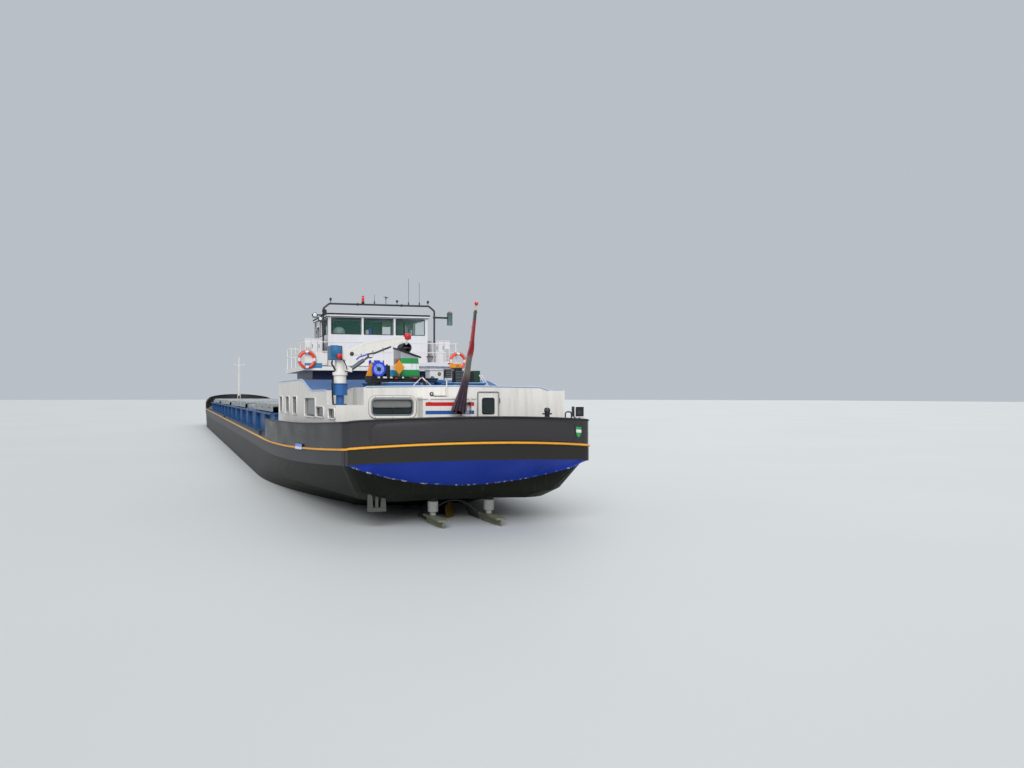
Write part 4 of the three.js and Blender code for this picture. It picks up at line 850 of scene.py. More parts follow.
def flag_weave(paints):
    """Bunting: red at the hoist, grey-white below it and a blue foot painted dark purple with its shade, with a
    fine weave. The folds noise paints shade into the creases and a highlight on the foot's crests, and also
    bumps the cloth.
    """
    finish = Finish("bunting", Roughness=0.85, Sheen_Weight=0.3)
    weave = finish.noise(1400, 2, stretch=(1, 1, 3))
    fold_relief_and_shade = finish.noise(60, 3, stretch=(1, 4, 0.25))
    worn = finish.noise(14, 4)
    height = finish.z + (worn - 0.5) * 0.02
    # Painted shade and highlight: the foot's blue shown as shaded purple, darker in the folds and lighter where
    # the folds noise is high.
    shaded_blue_foot = finish.mix("5a3550", "34243a", fold_relief_and_shade)
    shaded_blue_foot = shaded_blue_foot.under("776068", fold_relief_and_shade.above(0.56, 0.08) * 0.7)
    pale = finish.mix("a89f96", "6d6563", fold_relief_and_shade)
    red = finish.mix(paints.signal_red, "8e1020", fold_relief_and_shade)
    base = finish.mix(shaded_blue_foot, pale, height.above(0.586, 0.03))
    base = base.under(red, height.above(0.648, 0.012))
    base = base.under("47504a", height.above(0.752, 0.01))
    finish.set("Base Color", finish.mix(base, "2b2226", weave.above(0.6, 0.2) * 0.15))
    finish.bump(weave * 0.5 + fold_relief_and_shade, 0.5, 0.0006)
    return finish


def cover_metal():
    """Mill aluminium hatch covers: brushed along the ship, dulled in patches, with grey wash marks across."""
    finish = Finish("cover_aluminium", Metallic=0.55)
    brushed = finish.noise(60, 4, stretch=(0.15, 6, 6))
    patches = finish.noise(4, 4)
    wash = finish.noise(12, 5, stretch=(5, 0.4, 1)).above(0.55, 0.2)
    base = finish.mix("b3b7b8", "8b9091", patches)
    base = base.under("6f7370", wash * 0.35)
    return finish.coated(base, brushed * 0.25 + patches * 0.15 + 0.3, brushed, 0.25, 0.0006)


FUNNEL_BANDS = {"low": 0.6, "white_low": 0.6224, "white_high": 0.6445, "high": 0.6645}


def funnel_bands(paints):
    """Green with one white band by height, a pale panel under the oblique top and soot at the foot."""
    finish = Finish("funnel_bands", Coat_Weight=0.25)
    mottle = finish.noise(120, 4)
    tone = finish.noise(8, 3)
    green = finish.mix(paints.funnel_green, "148040", tone)
    band = finish.z.within(FUNNEL_BANDS["white_low"], FUNNEL_BANDS["white_high"])
    base = finish.mix(green, "eeeeea", band)
    panel = finish.z.above(FUNNEL_BANDS["high"])
    base = base.under(finish.mix("b9bcba", "7d8386", tone), panel)
    soot = (1 - finish.z.above(FUNNEL_BANDS["low"], 0.012)) * 0.75
    base = base.under("1d1e1f", soot)
    streak = finish.noise(40, 4, stretch=(3, 3, 0.4)).above(0.6, 0.2)
    return finish.coated(finish.mix(base, "4c4a44", streak * 0.3), mottle * 0.2 + 0.25, mottle, 0.2, 0.0005)


LOCKER_STRIPES = {"red": (0.4962, 0.5083), "blue": (0.4703, 0.4819), "port": 0.1174, "starboard": -0.0446}


def locker_stripes(paints):
    """White locker with a red and a blue stripe across its aft face."""
    finish = Finish("locker_stripes")
    mottle = finish.noise(160, 4)
    runs = finish.rain(0.58, 0.2)
    stripes = LOCKER_STRIPES
    across = finish.y.within(stripes["starboard"], stripes["port"])
    aft = 1 - finish.x.above(-4.1, 0.002)
    base = finish.mix(paints.house_white, "c9c2b6", runs * 0.5)
    base = base.under(paints.signal_red, finish.z.within(*stripes["red"]) * across * aft)
    base = base.under("1d55a0", finish.z.within(*stripes["blue"]) * across * aft)
    return finish.coated(base, mottle * 0.2 + 0.35, mottle, 0.2, 0.0005)


def reel_disc():
    """Royal blue reel with a paler disc and a dark hub, by distance from its axis."""
    finish = Finish("reel_disc", Coat_Weight=0.3)
    low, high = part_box("hose_reel")
    middle = (low + high) / 2
    radius = ((finish.y - middle.y) ** 2 + (finish.z - middle.z) ** 2) ** 0.5
    face = 1 - finish.x.above(low.x + 0.002, 0.001)
    mottle = finish.noise(200, 4)
    base = finish.mix("1c3cc4", "7f9af6", (1 - radius.above(0.019, 0.002)) * face)
    base = base.under("0c0f1a", 1 - radius.above(0.006))
    return finish.coated(base, mottle * 0.2 + 0.25, mottle, 0.2, 0.0004)


FINISHES = {}


class BARGE_OT_stage(bpy.types.Operator):
    """Make the camera, the lights and the floor at the waterline"""

    bl_idname = "barge.stage"
    bl_label = "Stage"

    def execute(self, context):
        settings = context.scene.barge_stage
        make_camera(settings)
        make_lights(context.scene, settings)
        make_floor(settings)
        return {"FINISHED"}


class BargeStage(bpy.types.PropertyGroup):
    """Where the camera stands and how bright the light is."""

    eye: FloatVectorProperty(
        name="Eye", description="Camera position", default=(-6.3, 0.884, 0.531), subtype="XYZ",
        unit="LENGTH"
    )
    turn: FloatProperty(
        name="Turn", description="How far the camera looks to starboard of the bow",
        default=math.radians(12.85), subtype="ANGLE"
    )
    lens: FloatProperty(name="Lens", description="Focal length in millimetres", default=26.016, min=1)
    shift: FloatVectorProperty(
        name="Shift", description="Shift of the view to the right and up", default=(0.1665, 0.0107), size=2
    )
    sun: FloatProperty(name="Key light", description="Strength of the key light", default=2.6, min=0)
    fill: FloatProperty(name="Fill light", description="Strength of the sky", default=0.66, min=0)
    floor_reach: FloatProperty(
        name="Floor", description="Half width of the floor", default=60.0, min=1, subtype="DISTANCE"
    )


def make_camera(settings):
    """A level camera whose view is shifted, so that upright edges stay upright."""
    camera = bpy.data.cameras.new("photo_camera")
    camera.lens = settings.lens
    camera.sensor_width = 36
    camera.shift_x, camera.shift_y = settings.shift
    camera.clip_end = 200
    made = bpy.data.objects.new("photo_camera", camera)
    made.location = settings.eye
    made.rotation_euler = (math.pi / 2, 0, -math.pi / 2 - settings.turn)
    bpy.context.scene.collection.objects.link(made)
    bpy.context.scene.camera = made


def make_lights(scene, settings):
    """A broad key from high astern to port, a weaker one from ahead to starboard, and an even pale sky. A
    light travels along its heading, which is counted from the bow to port."""
    world = bpy.data.worlds.new("studio")
    world.use_nodes = True
    sky = world.node_tree.nodes["Background"]
    sky.inputs["Color"].default_value = (*linear("dfe6ee"), 1)
    sky.inputs["Strength"].default_value = settings.fill
    scene.world = world
    scene.view_settings.view_transform = "Standard"
    for name, strength, spread, elevation, heading in (
        ("key_light", settings.sun, 50, 40, -22), ("side_light", settings.sun * 0.3, 60, 40, 140)
    ):
        light = bpy.data.lights.new(name, "SUN")
        light.energy = strength
        light.angle = math.radians(spread)
        lamp = bpy.data.objects.new(name, light)
        lamp.rotation_euler = (math.radians(90 - elevation), 0, math.radians(heading - 90))
        scene.collection.objects.link(lamp)


# A loop inside the hull's waterline, where the floor is left open round the hold
FLOOR_HOLE = [(-3.66, 0.2), (-3.2, 0.34), (-2.5, 0.43), (3.2, 0.43), (3.65, 0.33), (3.9, 0.12)]


def make_floor(settings):
    """A pale floor at the waterline, between a loop inside the hull and a far loop whose points lie on the
    rays through the near one's."""
    half = np.array(FLOOR_HOLE)
    hole = np.concatenate([half, half[::-1] * (1, -1)])
    reach = settings.floor_reach
    far = unit(hole / (4, 0.45)) * reach
    rings = np.stack([in_plane("XY", ring, WATERLINE) for ring in (hole, hole * 1.02, far)])
    below = rings[::-1] - (0, 0, 0.002)
    shape = skin(np.concatenate([rings, below]), closed=True)
    finish = Finish("studio_floor", Roughness=0.6)
    cloud = finish.noise(0.6, 2)
    finish.set("Base Color", finish.mix("c4c6c5", "babdbc", cloud))
    piece("studio_floor", None, [(shape, finish)], body=None)


NODE_FINISHES = {
    "hull": ["hull"], "rudder": ["rudder_port", "rudder_starboard"],
    "bulwark": ["bulwark_aft", "bulwark_fore", "name_board"], "yellow": ["gunwale_band"],
    "roof_blue": ["hold_coaming", "skylight", "skylight_lid"], "house": ["aft_house"],
    "crane": ["crane_pedestal", "crane_column"], "boom": ["crane_boom"], "staff": ["flagstaff"],
    "cover": [f"hatch_cover_{kind}_{i}" for kind in ("high", "low") for i in range(1, 5)],
    "bronze": ["propeller"], "grey": ["engine", "helm_console"], "galvanised": ["stern_anchor"],
    "white": ["house_door", "bow_store", "mast_step", "fore_mast"],
    "cabin_white": [
        "wheelhouse", "wheelhouse_roof", "wheelhouse_door_port", "wheelhouse_door_starboard",
        "wing_locker_port", "wing_locker_starboard"
    ], "upper_deck": ["upper_deck"], "cream": ["radar_scanner"], "locker": ["deck_locker"],
    "dark_steel": ["portal_frame", "windlass_drum", "nozzle", "hose_reel_stand"],
    "steel": ["luff_barrel", "luff_rod"], "funnel": ["funnel"], "reel": ["hose_reel"],
    "teal": ["windlass_frame"], "cabin_glass": ["wheelhouse_glass_aft", "wheelhouse_glass_fore"],
    "black": ["helm_chair", "anchor_port", "anchor_starboard"],
    "ring_orange": ["lifebuoy_port", "lifebuoy_starboard"], "canvas": ["flag"]
}


class BARGE_OT_paint(bpy.types.Operator):
    """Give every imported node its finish"""

    bl_idname = "barge.paint"
    bl_label = "Paint the ship"

    def execute(self, context):
        FINISHES.update(make_finishes(context.scene.barge_paints))
        for finish, nodes in NODE_FINISHES.items():
            dress(FINISHES[finish], *(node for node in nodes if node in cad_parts))
        rails = [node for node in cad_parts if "railing" in node or node == "radar_base"]
        dress(FINISHES["white"], *rails)
        return {"FINISHED"}


def panel(plane, a, b, height, radius=0.002, bevel=0.0006):
    """A plate with rounded corners in a plane, from its ranges along the plane's two axes and across it."""
    radius = min(radius, (a[1] - a[0]) / 2.1, (b[1] - b[0]) / 2.1)
    outline = rounded(a[1] - a[0], b[1] - b[0], radius, 5) + (sum(a) / 2, sum(b) / 2)
    return slab(plane, outline, *height, min(bevel, (height[1] - height[0]) / 3))


def bar(start, end, radius, sides=10):
    """A round bar between two points, its ends drawn in by a third of its radius."""
    start, end = np.asarray(start, float), np.asarray(end, float)
    length = float(np.linalg.norm(end - start))
    step = min(radius / 3, length / 4)
    profile = [(radius - step, 0), (radius, step), (radius, length - step), (radius - step, length)]
    return lathe(profile, start, end - start, sides)


def bolts(places, axis, radius=0.0014, high=0.0009):
    """Low round bolt heads at several places, standing on a face along its axis."""
    head = lathe([(radius, -0.0003), (radius, high * 0.6), (radius * 0.6, high)], (0, 0, 0), axis, 8)
    return copies(head, places)


# Topsides: name panel, cap rails, stays and plates

BOARD = {"half": 0.327, "low": 0.004, "high": 0.066, "round": 0.024, "out": 0.0033, "thick": 0.0024}


def on_transom(y, out, height):
    """A point on the transom: out from its plating, at a height over the band's top there."""
    y, out, height = np.broadcast_arrays(np.asarray(y, float), out, height)
    base = stern_edge(y)
    place = base + out[..., None] * (stern_edge(y, 1.0) - base)
    return np.concatenate([place, (deck_edge(base[..., 0], y) + height)[..., None]], -1)


def name_panel():
    """A board round the transom. At y its half height is (height / 2 - r) + sqrt(r^2 - past^2), where past
    is how far y lies into a rounded end."""
    turn, thick = BOARD["round"], BOARD["thick"]
    y = BOARD["half"] * np.sin(np.linspace(-np.pi / 2, np.pi / 2, 71))[:, None]
    past = np.maximum(np.abs(y) - BOARD["half"] + turn, 0)
    tall = (BOARD["high"] - BOARD["low"]) / 2 - turn + np.sqrt(turn**2 - past**2)
    ring = rounded(thick, 0.01, 0.0006, 3)
    height = (BOARD["high"] + BOARD["low"]) / 2 + ring[:, 1] + np.sign(ring[:, 1]) * (tall - 0.005)
    return skin(on_transom(y, BOARD["out"] + thick / 2 + ring[:, 0], height))


def panel_bead(inwards, radius):
    """A bead along the board's edge, drawn in by a distance."""
    wide, high = 2 * BOARD["half"], BOARD["high"] - BOARD["low"]
    edge = finely(inset(rounded(wide, high, BOARD["round"], 8), inwards), 0.012)
    middle = (BOARD["high"] + BOARD["low"]) / 2
    path = on_transom(edge[:, 0], BOARD["out"] + BOARD["thick"], middle + edge[:, 1])
    return sweep(path, circle(radius, 6), up=AFT, closed=True)


def rail_along(distances, lift, out, section):
    """A section carried along the ship's outline at a height over the band's top."""
    place = along_side(distances, out)
    z = deck_edge(place[:, 0], place[:, 1]) + lift(place[:, 0])
    return sweep(np.concatenate([place, z[:, None]], -1), section, up=UP)


CAP_SECTION = rounded(0.0122, 0.0052, 0.002, 4)
CAP_OUT = -0.0005
AFT_RAIL_END = -2.9
FORE_RAIL_FROM = 3.42
DECK_DROP = 0.0138


def cap_rail_aft():
    """The flat cap carried over the aft bulwark, round the transom from one forward end to the other."""
    port = np.append(SIDE_LENGTHS[SIDE_LINE[:, 0] < AFT_RAIL_END], length_at(AFT_RAIL_END))
    distances = np.concatenate([-port[:0:-1], port])
    return rail_along(distances, lambda x: aft_bulwark(x) - 0.002, CAP_OUT, CAP_SECTION)


def cap_rail_fore():
    """The same cap carried over the fore bulwark, round the stem."""
    port = SIDE_LENGTHS[SIDE_LINE[:, 0] > FORE_RAIL_FROM]
    distances = np.concatenate([port, -port[-2::-1]])
    return rail_along(distances, lambda x: fore_bulwark(x) - 0.002, CAP_OUT, CAP_SECTION)


def stay(distance, lift, reach):
    """A bracket inside the bulwark at a place along the outline: a foot on deck and a flange up to the
    cap."""
    x, y = along_side(distance)
    band, top = float(deck_edge(x, y)), float(lift(x)) - 0.006
    profile = [
        (0.002, 0.001), (-0.008, 0.001), (-0.008, -DECK_DROP), (-reach, -DECK_DROP), (-0.009, top),
        (0.002, top)
    ]
    outs, heights = np.array(profile).T
    rings = []
    for along in (-0.0012, 0.0012):
        place = along_side(np.full(len(outs), distance + along), outs)
        rings.append(np.concatenate([place, (band + heights)[:, None]], -1))
    return skin(rings)


SHIELD = [
    (-0.013, 0.0165), (0.013, 0.0165), (0.013, 0.002), (0.0108, -0.0065), (0.006, -0.013), (0, -0.0165),
    (-0.006, -0.013), (-0.0108, -0.0065), (-0.013, 0.002)
]


def make_topsides():
    """Distances here are arc lengths along the outline, and negative ones lie to starboard."""
    board = piece(
        "name_panel", "bulwark_paint", bulwark=[name_panel()], topside=[panel_bead(0.0006, 0.0013)],
        sharp=50
    )
    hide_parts("name_board")
    piece("cap_rails", "black_trim", black=[cap_rail_aft(), cap_rail_fore()], sharp=60)
    ends = length_at(-4.09), length_at(-2.95)
    wide = [stay(side * at, aft_bulwark, 0.034) for at in np.linspace(0.06, ends[0], 5) for side in (-1, 1)]
    slim = [
        stay(side * at, aft_bulwark, 0.018)
        for at in np.linspace(ends[0] + 0.1, ends[1], 11)
        for side in (-1, 1)
    ]
    fore = [
        stay(side * length_at(x), fore_bulwark, 0.03)
        for x in (3.5, 3.62, 3.74, 3.86, 3.98, 4.08)
        for side in (-1, 1)
    ]
    piece("bulwark_stays", "bulwark_paint", topside=[*wide, *slim, *fore])
    at = -0.353
    shield = side_plate(np.array(SHIELD), at, 0.0345, 0.0026, 0.0014)
    bar_flat = rounded(0.0248, 0.0095, 0.0008, 3) + (0, 0.0035)
    middle = side_plate(bar_flat, at, 0.0345, 0.0036, 0.001)
    piece("shield", "green_paint", green=[shield], white=[middle])
    port_at = length_at(-3.7)
    blue = side_plate(rounded(0.1, 0.02, 0.003, 5), port_at, 0.0005, BAND_OUT - 0.0004, 0.0014)
    stripe = side_plate(rounded(0.094, 0.0085, 0.001, 3), port_at, -0.004, BAND_OUT + 0.0006, 0.001)
    piece("side_plate", "blue_paint", pale_blue=[blue], white=[stripe])


class BARGE_OT_topsides(bpy.types.Operator):
    """Name panel, cap rails, bulwark stays, shield and side plates"""

    bl_idname = "barge.topsides"
    bl_label = "Topsides"

    def execute(self, context):
        make_topsides()
        return {"FINISHED"}


def make_quarter():
    x = -4.19
    deck = float(deck_edge(x, 0.36)) - DECK_DROP
    case = block((x - 0.008, x + 0.014), (-0.3785, -0.3475), (0.462, 0.4945), 0.002)
    rim = frame_round("YZ", (0.0318, 0.0335), (-0.363, 0.4783), x - 0.0085, (0.0034, 0.003), 0.003)
    leg_rows = (-0.37, -0.3535)
    legs = [bar((x + 0.004, y, deck), (x + 0.004, y, 0.463), 0.0028) for y in leg_rows]
    feet = [
        panel("XY", (x - 0.008, x + 0.008), (y - 0.006, y + 0.006), (deck, deck + 0.002)) for y in leg_rows
    ]
    knob = lathe([(0.006, 0), (0.0075, 0.0012), (0.005, 0.002)], (x - 0.0078, -0.363, 0.475), AFT, 20)
    piece("quarter_box", "dark_steel", black=[case, *legs, *feet], cabin_white=[rim], dark_steel=[knob])
    low, high, half = deck, 0.478, 0.0105
    hoop = tube(
        [
            (x, -0.329 - half, low), (x, -0.329 - half, high), (x, -0.329 + half, high),
            (x, -0.329 + half, low)
        ], 0.0022, 8, 0.008
    )
    profile = [
        (0.0125, 0), (0.0125, 0.003), (0.0078, 0.005), (0.0078, 0.115), (0.0094, 0.118), (0.0094, 0.126),
        (0.006, 0.131)
    ]
    post = lathe(profile, (x, -0.256, deck), UP, 20)
    pin = bar((x, -0.272, deck + 0.112), (x, -0.24, deck + 0.112), 0.0026)
    piece("quarter_posts", "dark_steel", dark_steel=[hoop, post, pin])


class BARGE_OT_quarter(bpy.types.Operator):
    """Lamp box, hoop and bollard on the starboard quarter"""

    bl_idname = "barge.quarter"
    bl_label = "Quarter fittings"

    def execute(self, context):
        make_quarter()
        return {"FINISHED"}


# House: windows, door, roof edges and what hangs on the rear wall

HOUSE_AFT = -4.06
HOUSE_HALF = 0.39
SIDE_WINDOWS = [
    # from x, to x, from z, to z, and how much of it a blind covers
    (-4.042, -3.95, 0.458, 0.486, 0.0),
    (-3.868, -3.738, 0.457, 0.489, 0.0),
    (-3.72, -3.51, 0.453, 0.519, 0.9),
    (-3.319, -3.216, 0.453, 0.523, 0.3),
    (-3.12, -3.02, 0.453, 0.523, 0.45),
    (-2.92, -2.83, 0.453, 0.523, 0.25),
]


def roof_line(x):
    """Height of the side walls' wave: from 0.546 to 0.592 by 3 t^2 - 2 t^3 over 0.26 m."""
    return 0.546 + 0.046 * smooth((x - STERN_X - 0.64) / 0.26)


def side_window(window, index):
    """A white frame, a grey rubber, glass, a black back that stands in for the shade of the room behind, and
    perhaps a part-drawn blind, in one opening on each side."""
    x0, x1, z0, z1, drawn = window
    x, z = (x0, x1), (z0, z1)
    frame_bar = opening_rim("XZ", x, z, 0.006, 0.3905, (0.0032, 0.006), 0.01)
    rubber = opening_rim("XZ", x, z, -0.001, 0.3885, (0.003, 0.0026), 0.0075)
    glass = panel("XZ", (x0 + 0.0005, x1 - 0.0005), (z0 + 0.0005, z1 - 0.0005), (0.3835, 0.3853), 0.007)
    parts = painted("white", both(frame_bar)) + painted("grey", both(rubber))
    parts += painted("glass" if drawn else "dark_glass", both(glass))
    # Painted shade: a black sheet behind the glass for the dark room inside.
    back = panel("XZ", (x0 + 0.001, x1 - 0.001), (z0 + 0.001, z1 - 0.001), (0.3795, 0.3805), 0.006)
    parts += painted("black", both(back))
    if drawn:
        low = z1 - drawn * (z1 - z0)
        blind = panel("XZ", (x0 + 0.004, x1 - 0.004), (low, z1 - 0.001), (0.3812, 0.3822), 0.002)
        rail = bar((x0 + 0.004, 0.3817, low), (x1 - 0.004, 0.3817, low), 0.0014, 8)
        parts += painted("blind", both(blind)) + painted("grey", both(rail))
    return piece(f"side_windows_{index}", "white_paint", parts)


def rear_window():
    """The rear window: an outer white frame, a grey rubber, a drip edge above and a part-drawn blind behind
    glass."""
    y, z, at = (0.14, 0.275), (0.467, 0.518), HOUSE_AFT
    outer = opening_rim("YZ", y, z, 0.014, at - 0.0008, (0.0058, 0.0042), 0.018)
    line = opening_rim("YZ", y, z, 0.0222, at - 0.0004, (0.0012, 0.0014), 0.022)
    rubber = opening_rim("YZ", y, z, -0.0005, at + 0.0004, (0.0048, 0.0034), 0.0115)
    glass = panel("YZ", y, z, (at + 0.0035, at + 0.0052), 0.0118)
    slats = panel("YZ", (0.1435, 0.2715), (0.4915, 0.5165), (at + 0.006, at + 0.0066), 0.008)
    rail = panel("YZ", (0.1425, 0.2725), (0.4885, 0.4915), (at + 0.0012, at + 0.0034), 0.001)
    # Painted shade: a black sheet behind the glass for the dark room inside.
    back = panel(
        "YZ", (y[0] + 0.002, y[1] - 0.002), (z[0] + 0.002, z[1] - 0.002), (-4.0505, -4.0495), 0.008
    )
    stile = panel("YZ", (0.2065, 0.2085), (z[0], 0.4885), (at + 0.0014, at + 0.0034), 0.0006)
    screws = [(at - 0.0026, a, b) for a in (0.15, 0.2075, 0.265) for b in (z[0] - 0.007, z[1] + 0.007)]
    parts = painted("white", outer) + painted("blind", slats) + painted("grey", rubber, line)
    parts += painted("black", rail, stile, back) + painted("glass", glass)
    parts += painted("steel", bolts(screws, AFT))
    return piece("rear_window_fittings", "white_paint", parts)


def roof_edges():
    """Round lips along the side walls' wave and across the rear edge, in the pale blue of a painted rim."""
    x = np.concatenate(
        [np.linspace(-4.057, -3.66, 6), np.linspace(-3.65, -3.4, 16), np.linspace(-3.39, -2.79, 4)]
    )
    start = x > -3.918
    path = np.stack([x, np.full_like(x, HOUSE_HALF - 0.0008), roof_line(x) + 0.0006], -1)
    y = np.array([-0.33, -0.3, -0.15, 0.0, 0.15, 0.296])
    rise = np.interp(np.abs(y), [0, 0.3, 0.33], [0.56, 0.556, 0.546])
    across = np.stack([np.full_like(y, HOUSE_AFT + 0.0006), y, rise + 0.0004], -1)
    port = tube(path[start], 0.0028, 8, 0.001)
    starboard = mirrored(tube(path, 0.0028, 8, 0.001))
    return port, starboard, tube(across, 0.0026, 8, 0.001)


def make_house():
    for index, window in enumerate(SIDE_WINDOWS, 1):
        side_window(window, index)
    rear_window()
    piece("roof_edges", "white_paint", rim=[*roof_edges()], sharp=60)
    lid = panel("XY", (-4.1165, -4.0615), (-0.053, 0.129), (0.5165, 0.5245), 0.004, 0.0015)
    latches = [
        panel("YZ", (y - 0.004, y + 0.004), (0.5085, 0.519), (-4.1178, -4.1138), 0.0015)
        for y in (-0.03, 0.105)
    ]
    hole_back = frame_round("YZ", (0.019, 0.036), (-0.0245, 0.489), -4.1142, (0.0018, 0.002), 0.003)
    piece("locker_fittings", "white_paint", white=[lid, *latches], grey=[hole_back])
    lamp = lathe(
        [
            (0.003, 0), (0.0065, 0.0004), (0.0065, 0.003), (0.0044, 0.0042), (0.0038, 0.0025),
            (0.002, 0.0022)
        ], (HOUSE_AFT, 0.0785, 0.534), AFT, 20
    )
    bulb = ball((HOUSE_AFT - 0.002, 0.0785, 0.534), 0.0026, 10)
    conduit = tube(
        [
            (-4.0612, 0.0735, 0.5285), (-4.0612, 0.066, 0.5275), (-4.0612, 0.029, 0.5272),
            (-4.0612, 0.029, 0.5475)
        ], 0.0009, 6, 0.003
    )
    clips = bolts([(-4.0606, y, 0.5275) for y in (0.064, 0.056, 0.048, 0.04)], AFT, 0.0019, 0.0014)
    pole = bar((-4.0655, 0.029, 0.5275), (-4.0655, 0.029, 0.5875), 0.0019)
    brackets = [
        panel("XZ", (-4.068, -4.058), (z, z + 0.002), (0.0265, 0.0315), 0.0005) for z in (0.532, 0.552)
    ]
    case = block((-4.074, -4.057), (0.0145, 0.0358), (0.5858, 0.6125), 0.002)
    grille = [
        panel("YZ", (0.0165, 0.0338), (z, z + 0.0017), (-4.0752, -4.0738), 0.0005)
        for z in (0.59, 0.5955, 0.601, 0.6065)
    ]
    hood = block((-4.0765, -4.0555), (0.0135, 0.0368), (0.6117, 0.6145), 0.001)
    piece(
        "wall_lantern", "dark_steel", white=[pole, *brackets, bulb], dark_steel=[lamp, conduit, clips],
        black=[case], grey=[*grille, hood]
    )
    door_y, door_z = (-0.15, -0.082), (0.38, 0.538)
    trim = opening_rim("YZ", door_y, door_z, 0.006, HOUSE_AFT - 0.0008, (0.003, 0.003), 0.005)
    hinges = [bar((-4.0632, -0.1547, z), (-4.0632, -0.1547, z + 0.016), 0.0018) for z in (0.4, 0.505)]
    piece("house_door_trim", "white_paint", grey=[trim], steel=hinges)
    press = frame_round("YZ", (0.046, 0.056), (-0.116, 0.495), HOUSE_AFT - 0.0004, (0.0018, 0.0016), 0.008)
    # Painted shade: a black sheet behind the door's glass for the dark room inside.
    back = panel("YZ", (-0.138, -0.094), (0.468, 0.522), (HOUSE_AFT - 0.0009, HOUSE_AFT + 0.0008), 0.007)
    light = panel(
        "YZ", (-0.1385, -0.0935), (0.4675, 0.5225), (HOUSE_AFT - 0.0017, HOUSE_AFT - 0.0011), 0.007, 0.0002
    )
    piece("house_door_fittings", "white_paint", body="aft_door", white=[press], black=[back], glass=[light])


class BARGE_OT_house(bpy.types.Operator):
    """Window frames, blinds, door fittings, roof edges and the rear wall's fittings"""

    bl_idname = "barge.house"
    bl_label = "House fittings"

    def execute(self, context):
        make_house()
        return {"FINISHED"}


# Roof gear: funnel, reel, pipes and boxes


def roof_height(y):
    """Height of the crowned roof at y."""
    return float(np.interp(abs(y), [0, 0.3, 0.33], [0.56, 0.556, 0.546]))


FUNNEL = {
    "x": (-3.74, -3.65), "y": (0.003, 0.082), "foot": 0.5565, "top": 0.6666, "forward": 0.144,
    "sideways": 0.322
}


def funnel_plane(ring):
    """Height of the funnel's oblique top: it rises with x and with y."""
    ahead, across = ring[:, 0] - FUNNEL["x"][0], ring[:, 1] - FUNNEL["y"][0]
    return FUNNEL["top"] + (FUNNEL["forward"] * ahead + FUNNEL["sideways"] * across)


def funnel_shell():
    """Rings from the foot to the oblique top; the starboard edge leans in by 9 mm as it rises."""
    (x0, x1), (y0, y1) = FUNNEL["x"], FUNNEL["y"]
    ring = rounded(x1 - x0, y1 - y0, 0.007, 6) + ((x0 + x1) / 2, (y0 + y1) / 2)
    top = funnel_plane(ring)
    rings = []
    for t in (0.0, 0.02, 0.3, 0.6, 0.985):
        lean = (1 - (ring[:, 1] - y0) / (y1 - y0)) * 0.009 * t
        drawn = inset(ring, 0.0016 if t == 0 else 0)
        z = FUNNEL["foot"] + (top - FUNNEL["foot"]) * t
        rings.append(np.stack([drawn[:, 0], drawn[:, 1] + lean, z], -1))
    return skin(rings)


def funnel_lid():
    """The black plate on the oblique top, standing over its edges by 3 mm."""
    (x0, x1), (y0, y1) = FUNNEL["x"], FUNNEL["y"]
    ring = rounded(x1 - x0 + 0.005, y1 - y0 + 0.004, 0.008, 6) + ((x0 + x1) / 2, (y0 + y1) / 2)
    rings = []
    for drawn, rise in ((0.0008, -0.0026), (0, -0.0016), (0, 0.0034), (0.001, 0.0044)):
        edge = inset(ring, drawn)
        rings.append(np.stack([edge[:, 0], edge[:, 1], funnel_plane(edge) + rise], -1))
    return skin(rings)


def mouth(at, axis, outer, inner, deep):
    """A pipe's rolled mouth and its dark inside, as one closed profile turned about its axis."""
    profile = [
        (inner, 0.002), (inner + 0.0012, 0.0), (outer - 0.001, 0.0), (outer + 0.001, 0.002),
        (outer + 0.001, 0.008), (outer, 0.0095), (outer, deep), (inner, deep)
    ]
    return lathe(profile, at, axis, 32, closed=True)


def make_funnel():
    at = (-3.733, 0.055, 0.703)
    ring = mouth(at, AHEAD, 0.018, 0.014, 0.062)
    # Painted highlight: a lighter plug deep in the exhaust for the light seen inside it.
    lit_inside_plug = bar((-3.705, 0.055, 0.703), (-3.672, 0.055, 0.703), 0.0145, 24)
    saddle = block((-3.725, -3.68), (0.04, 0.07), (0.676, 0.69), 0.002)
    flap = tube(
        [(-3.7335, 0.055 - 0.014, 0.7), (-3.7335, 0.055, 0.7035), (-3.7335, 0.055 + 0.014, 0.7)], 0.0012, 8
    )
    made = piece(
        "funnel_shell", "green_paint", funnel=[funnel_shell()], black=[funnel_lid(), ring, saddle],
        steel=[flap], dark_steel=[lit_inside_plug]
    )
    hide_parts("funnel")
    foot = frame_round("XY", (0.096, 0.085), (-3.695, 0.0425), 0.5605, (0.004, 0.005), 0.009)
    studs = bolts([(x, y, 0.563) for x in (-3.742, -3.695, -3.648) for y in (0.0, 0.085)], UP)
    piece("funnel_flange", "black_trim", black=[foot], steel=[studs])


class BARGE_OT_funnel(bpy.types.Operator):
    """Funnel with its oblique lid and the exhaust that lies along it"""

    bl_idname = "barge.funnel"
    bl_label = "Funnel"

    def execute(self, context):
        make_funnel()
        return {"FINISHED"}


REEL = {"x": -3.74, "y": 0.162, "z": 0.624, "radius": 0.026}


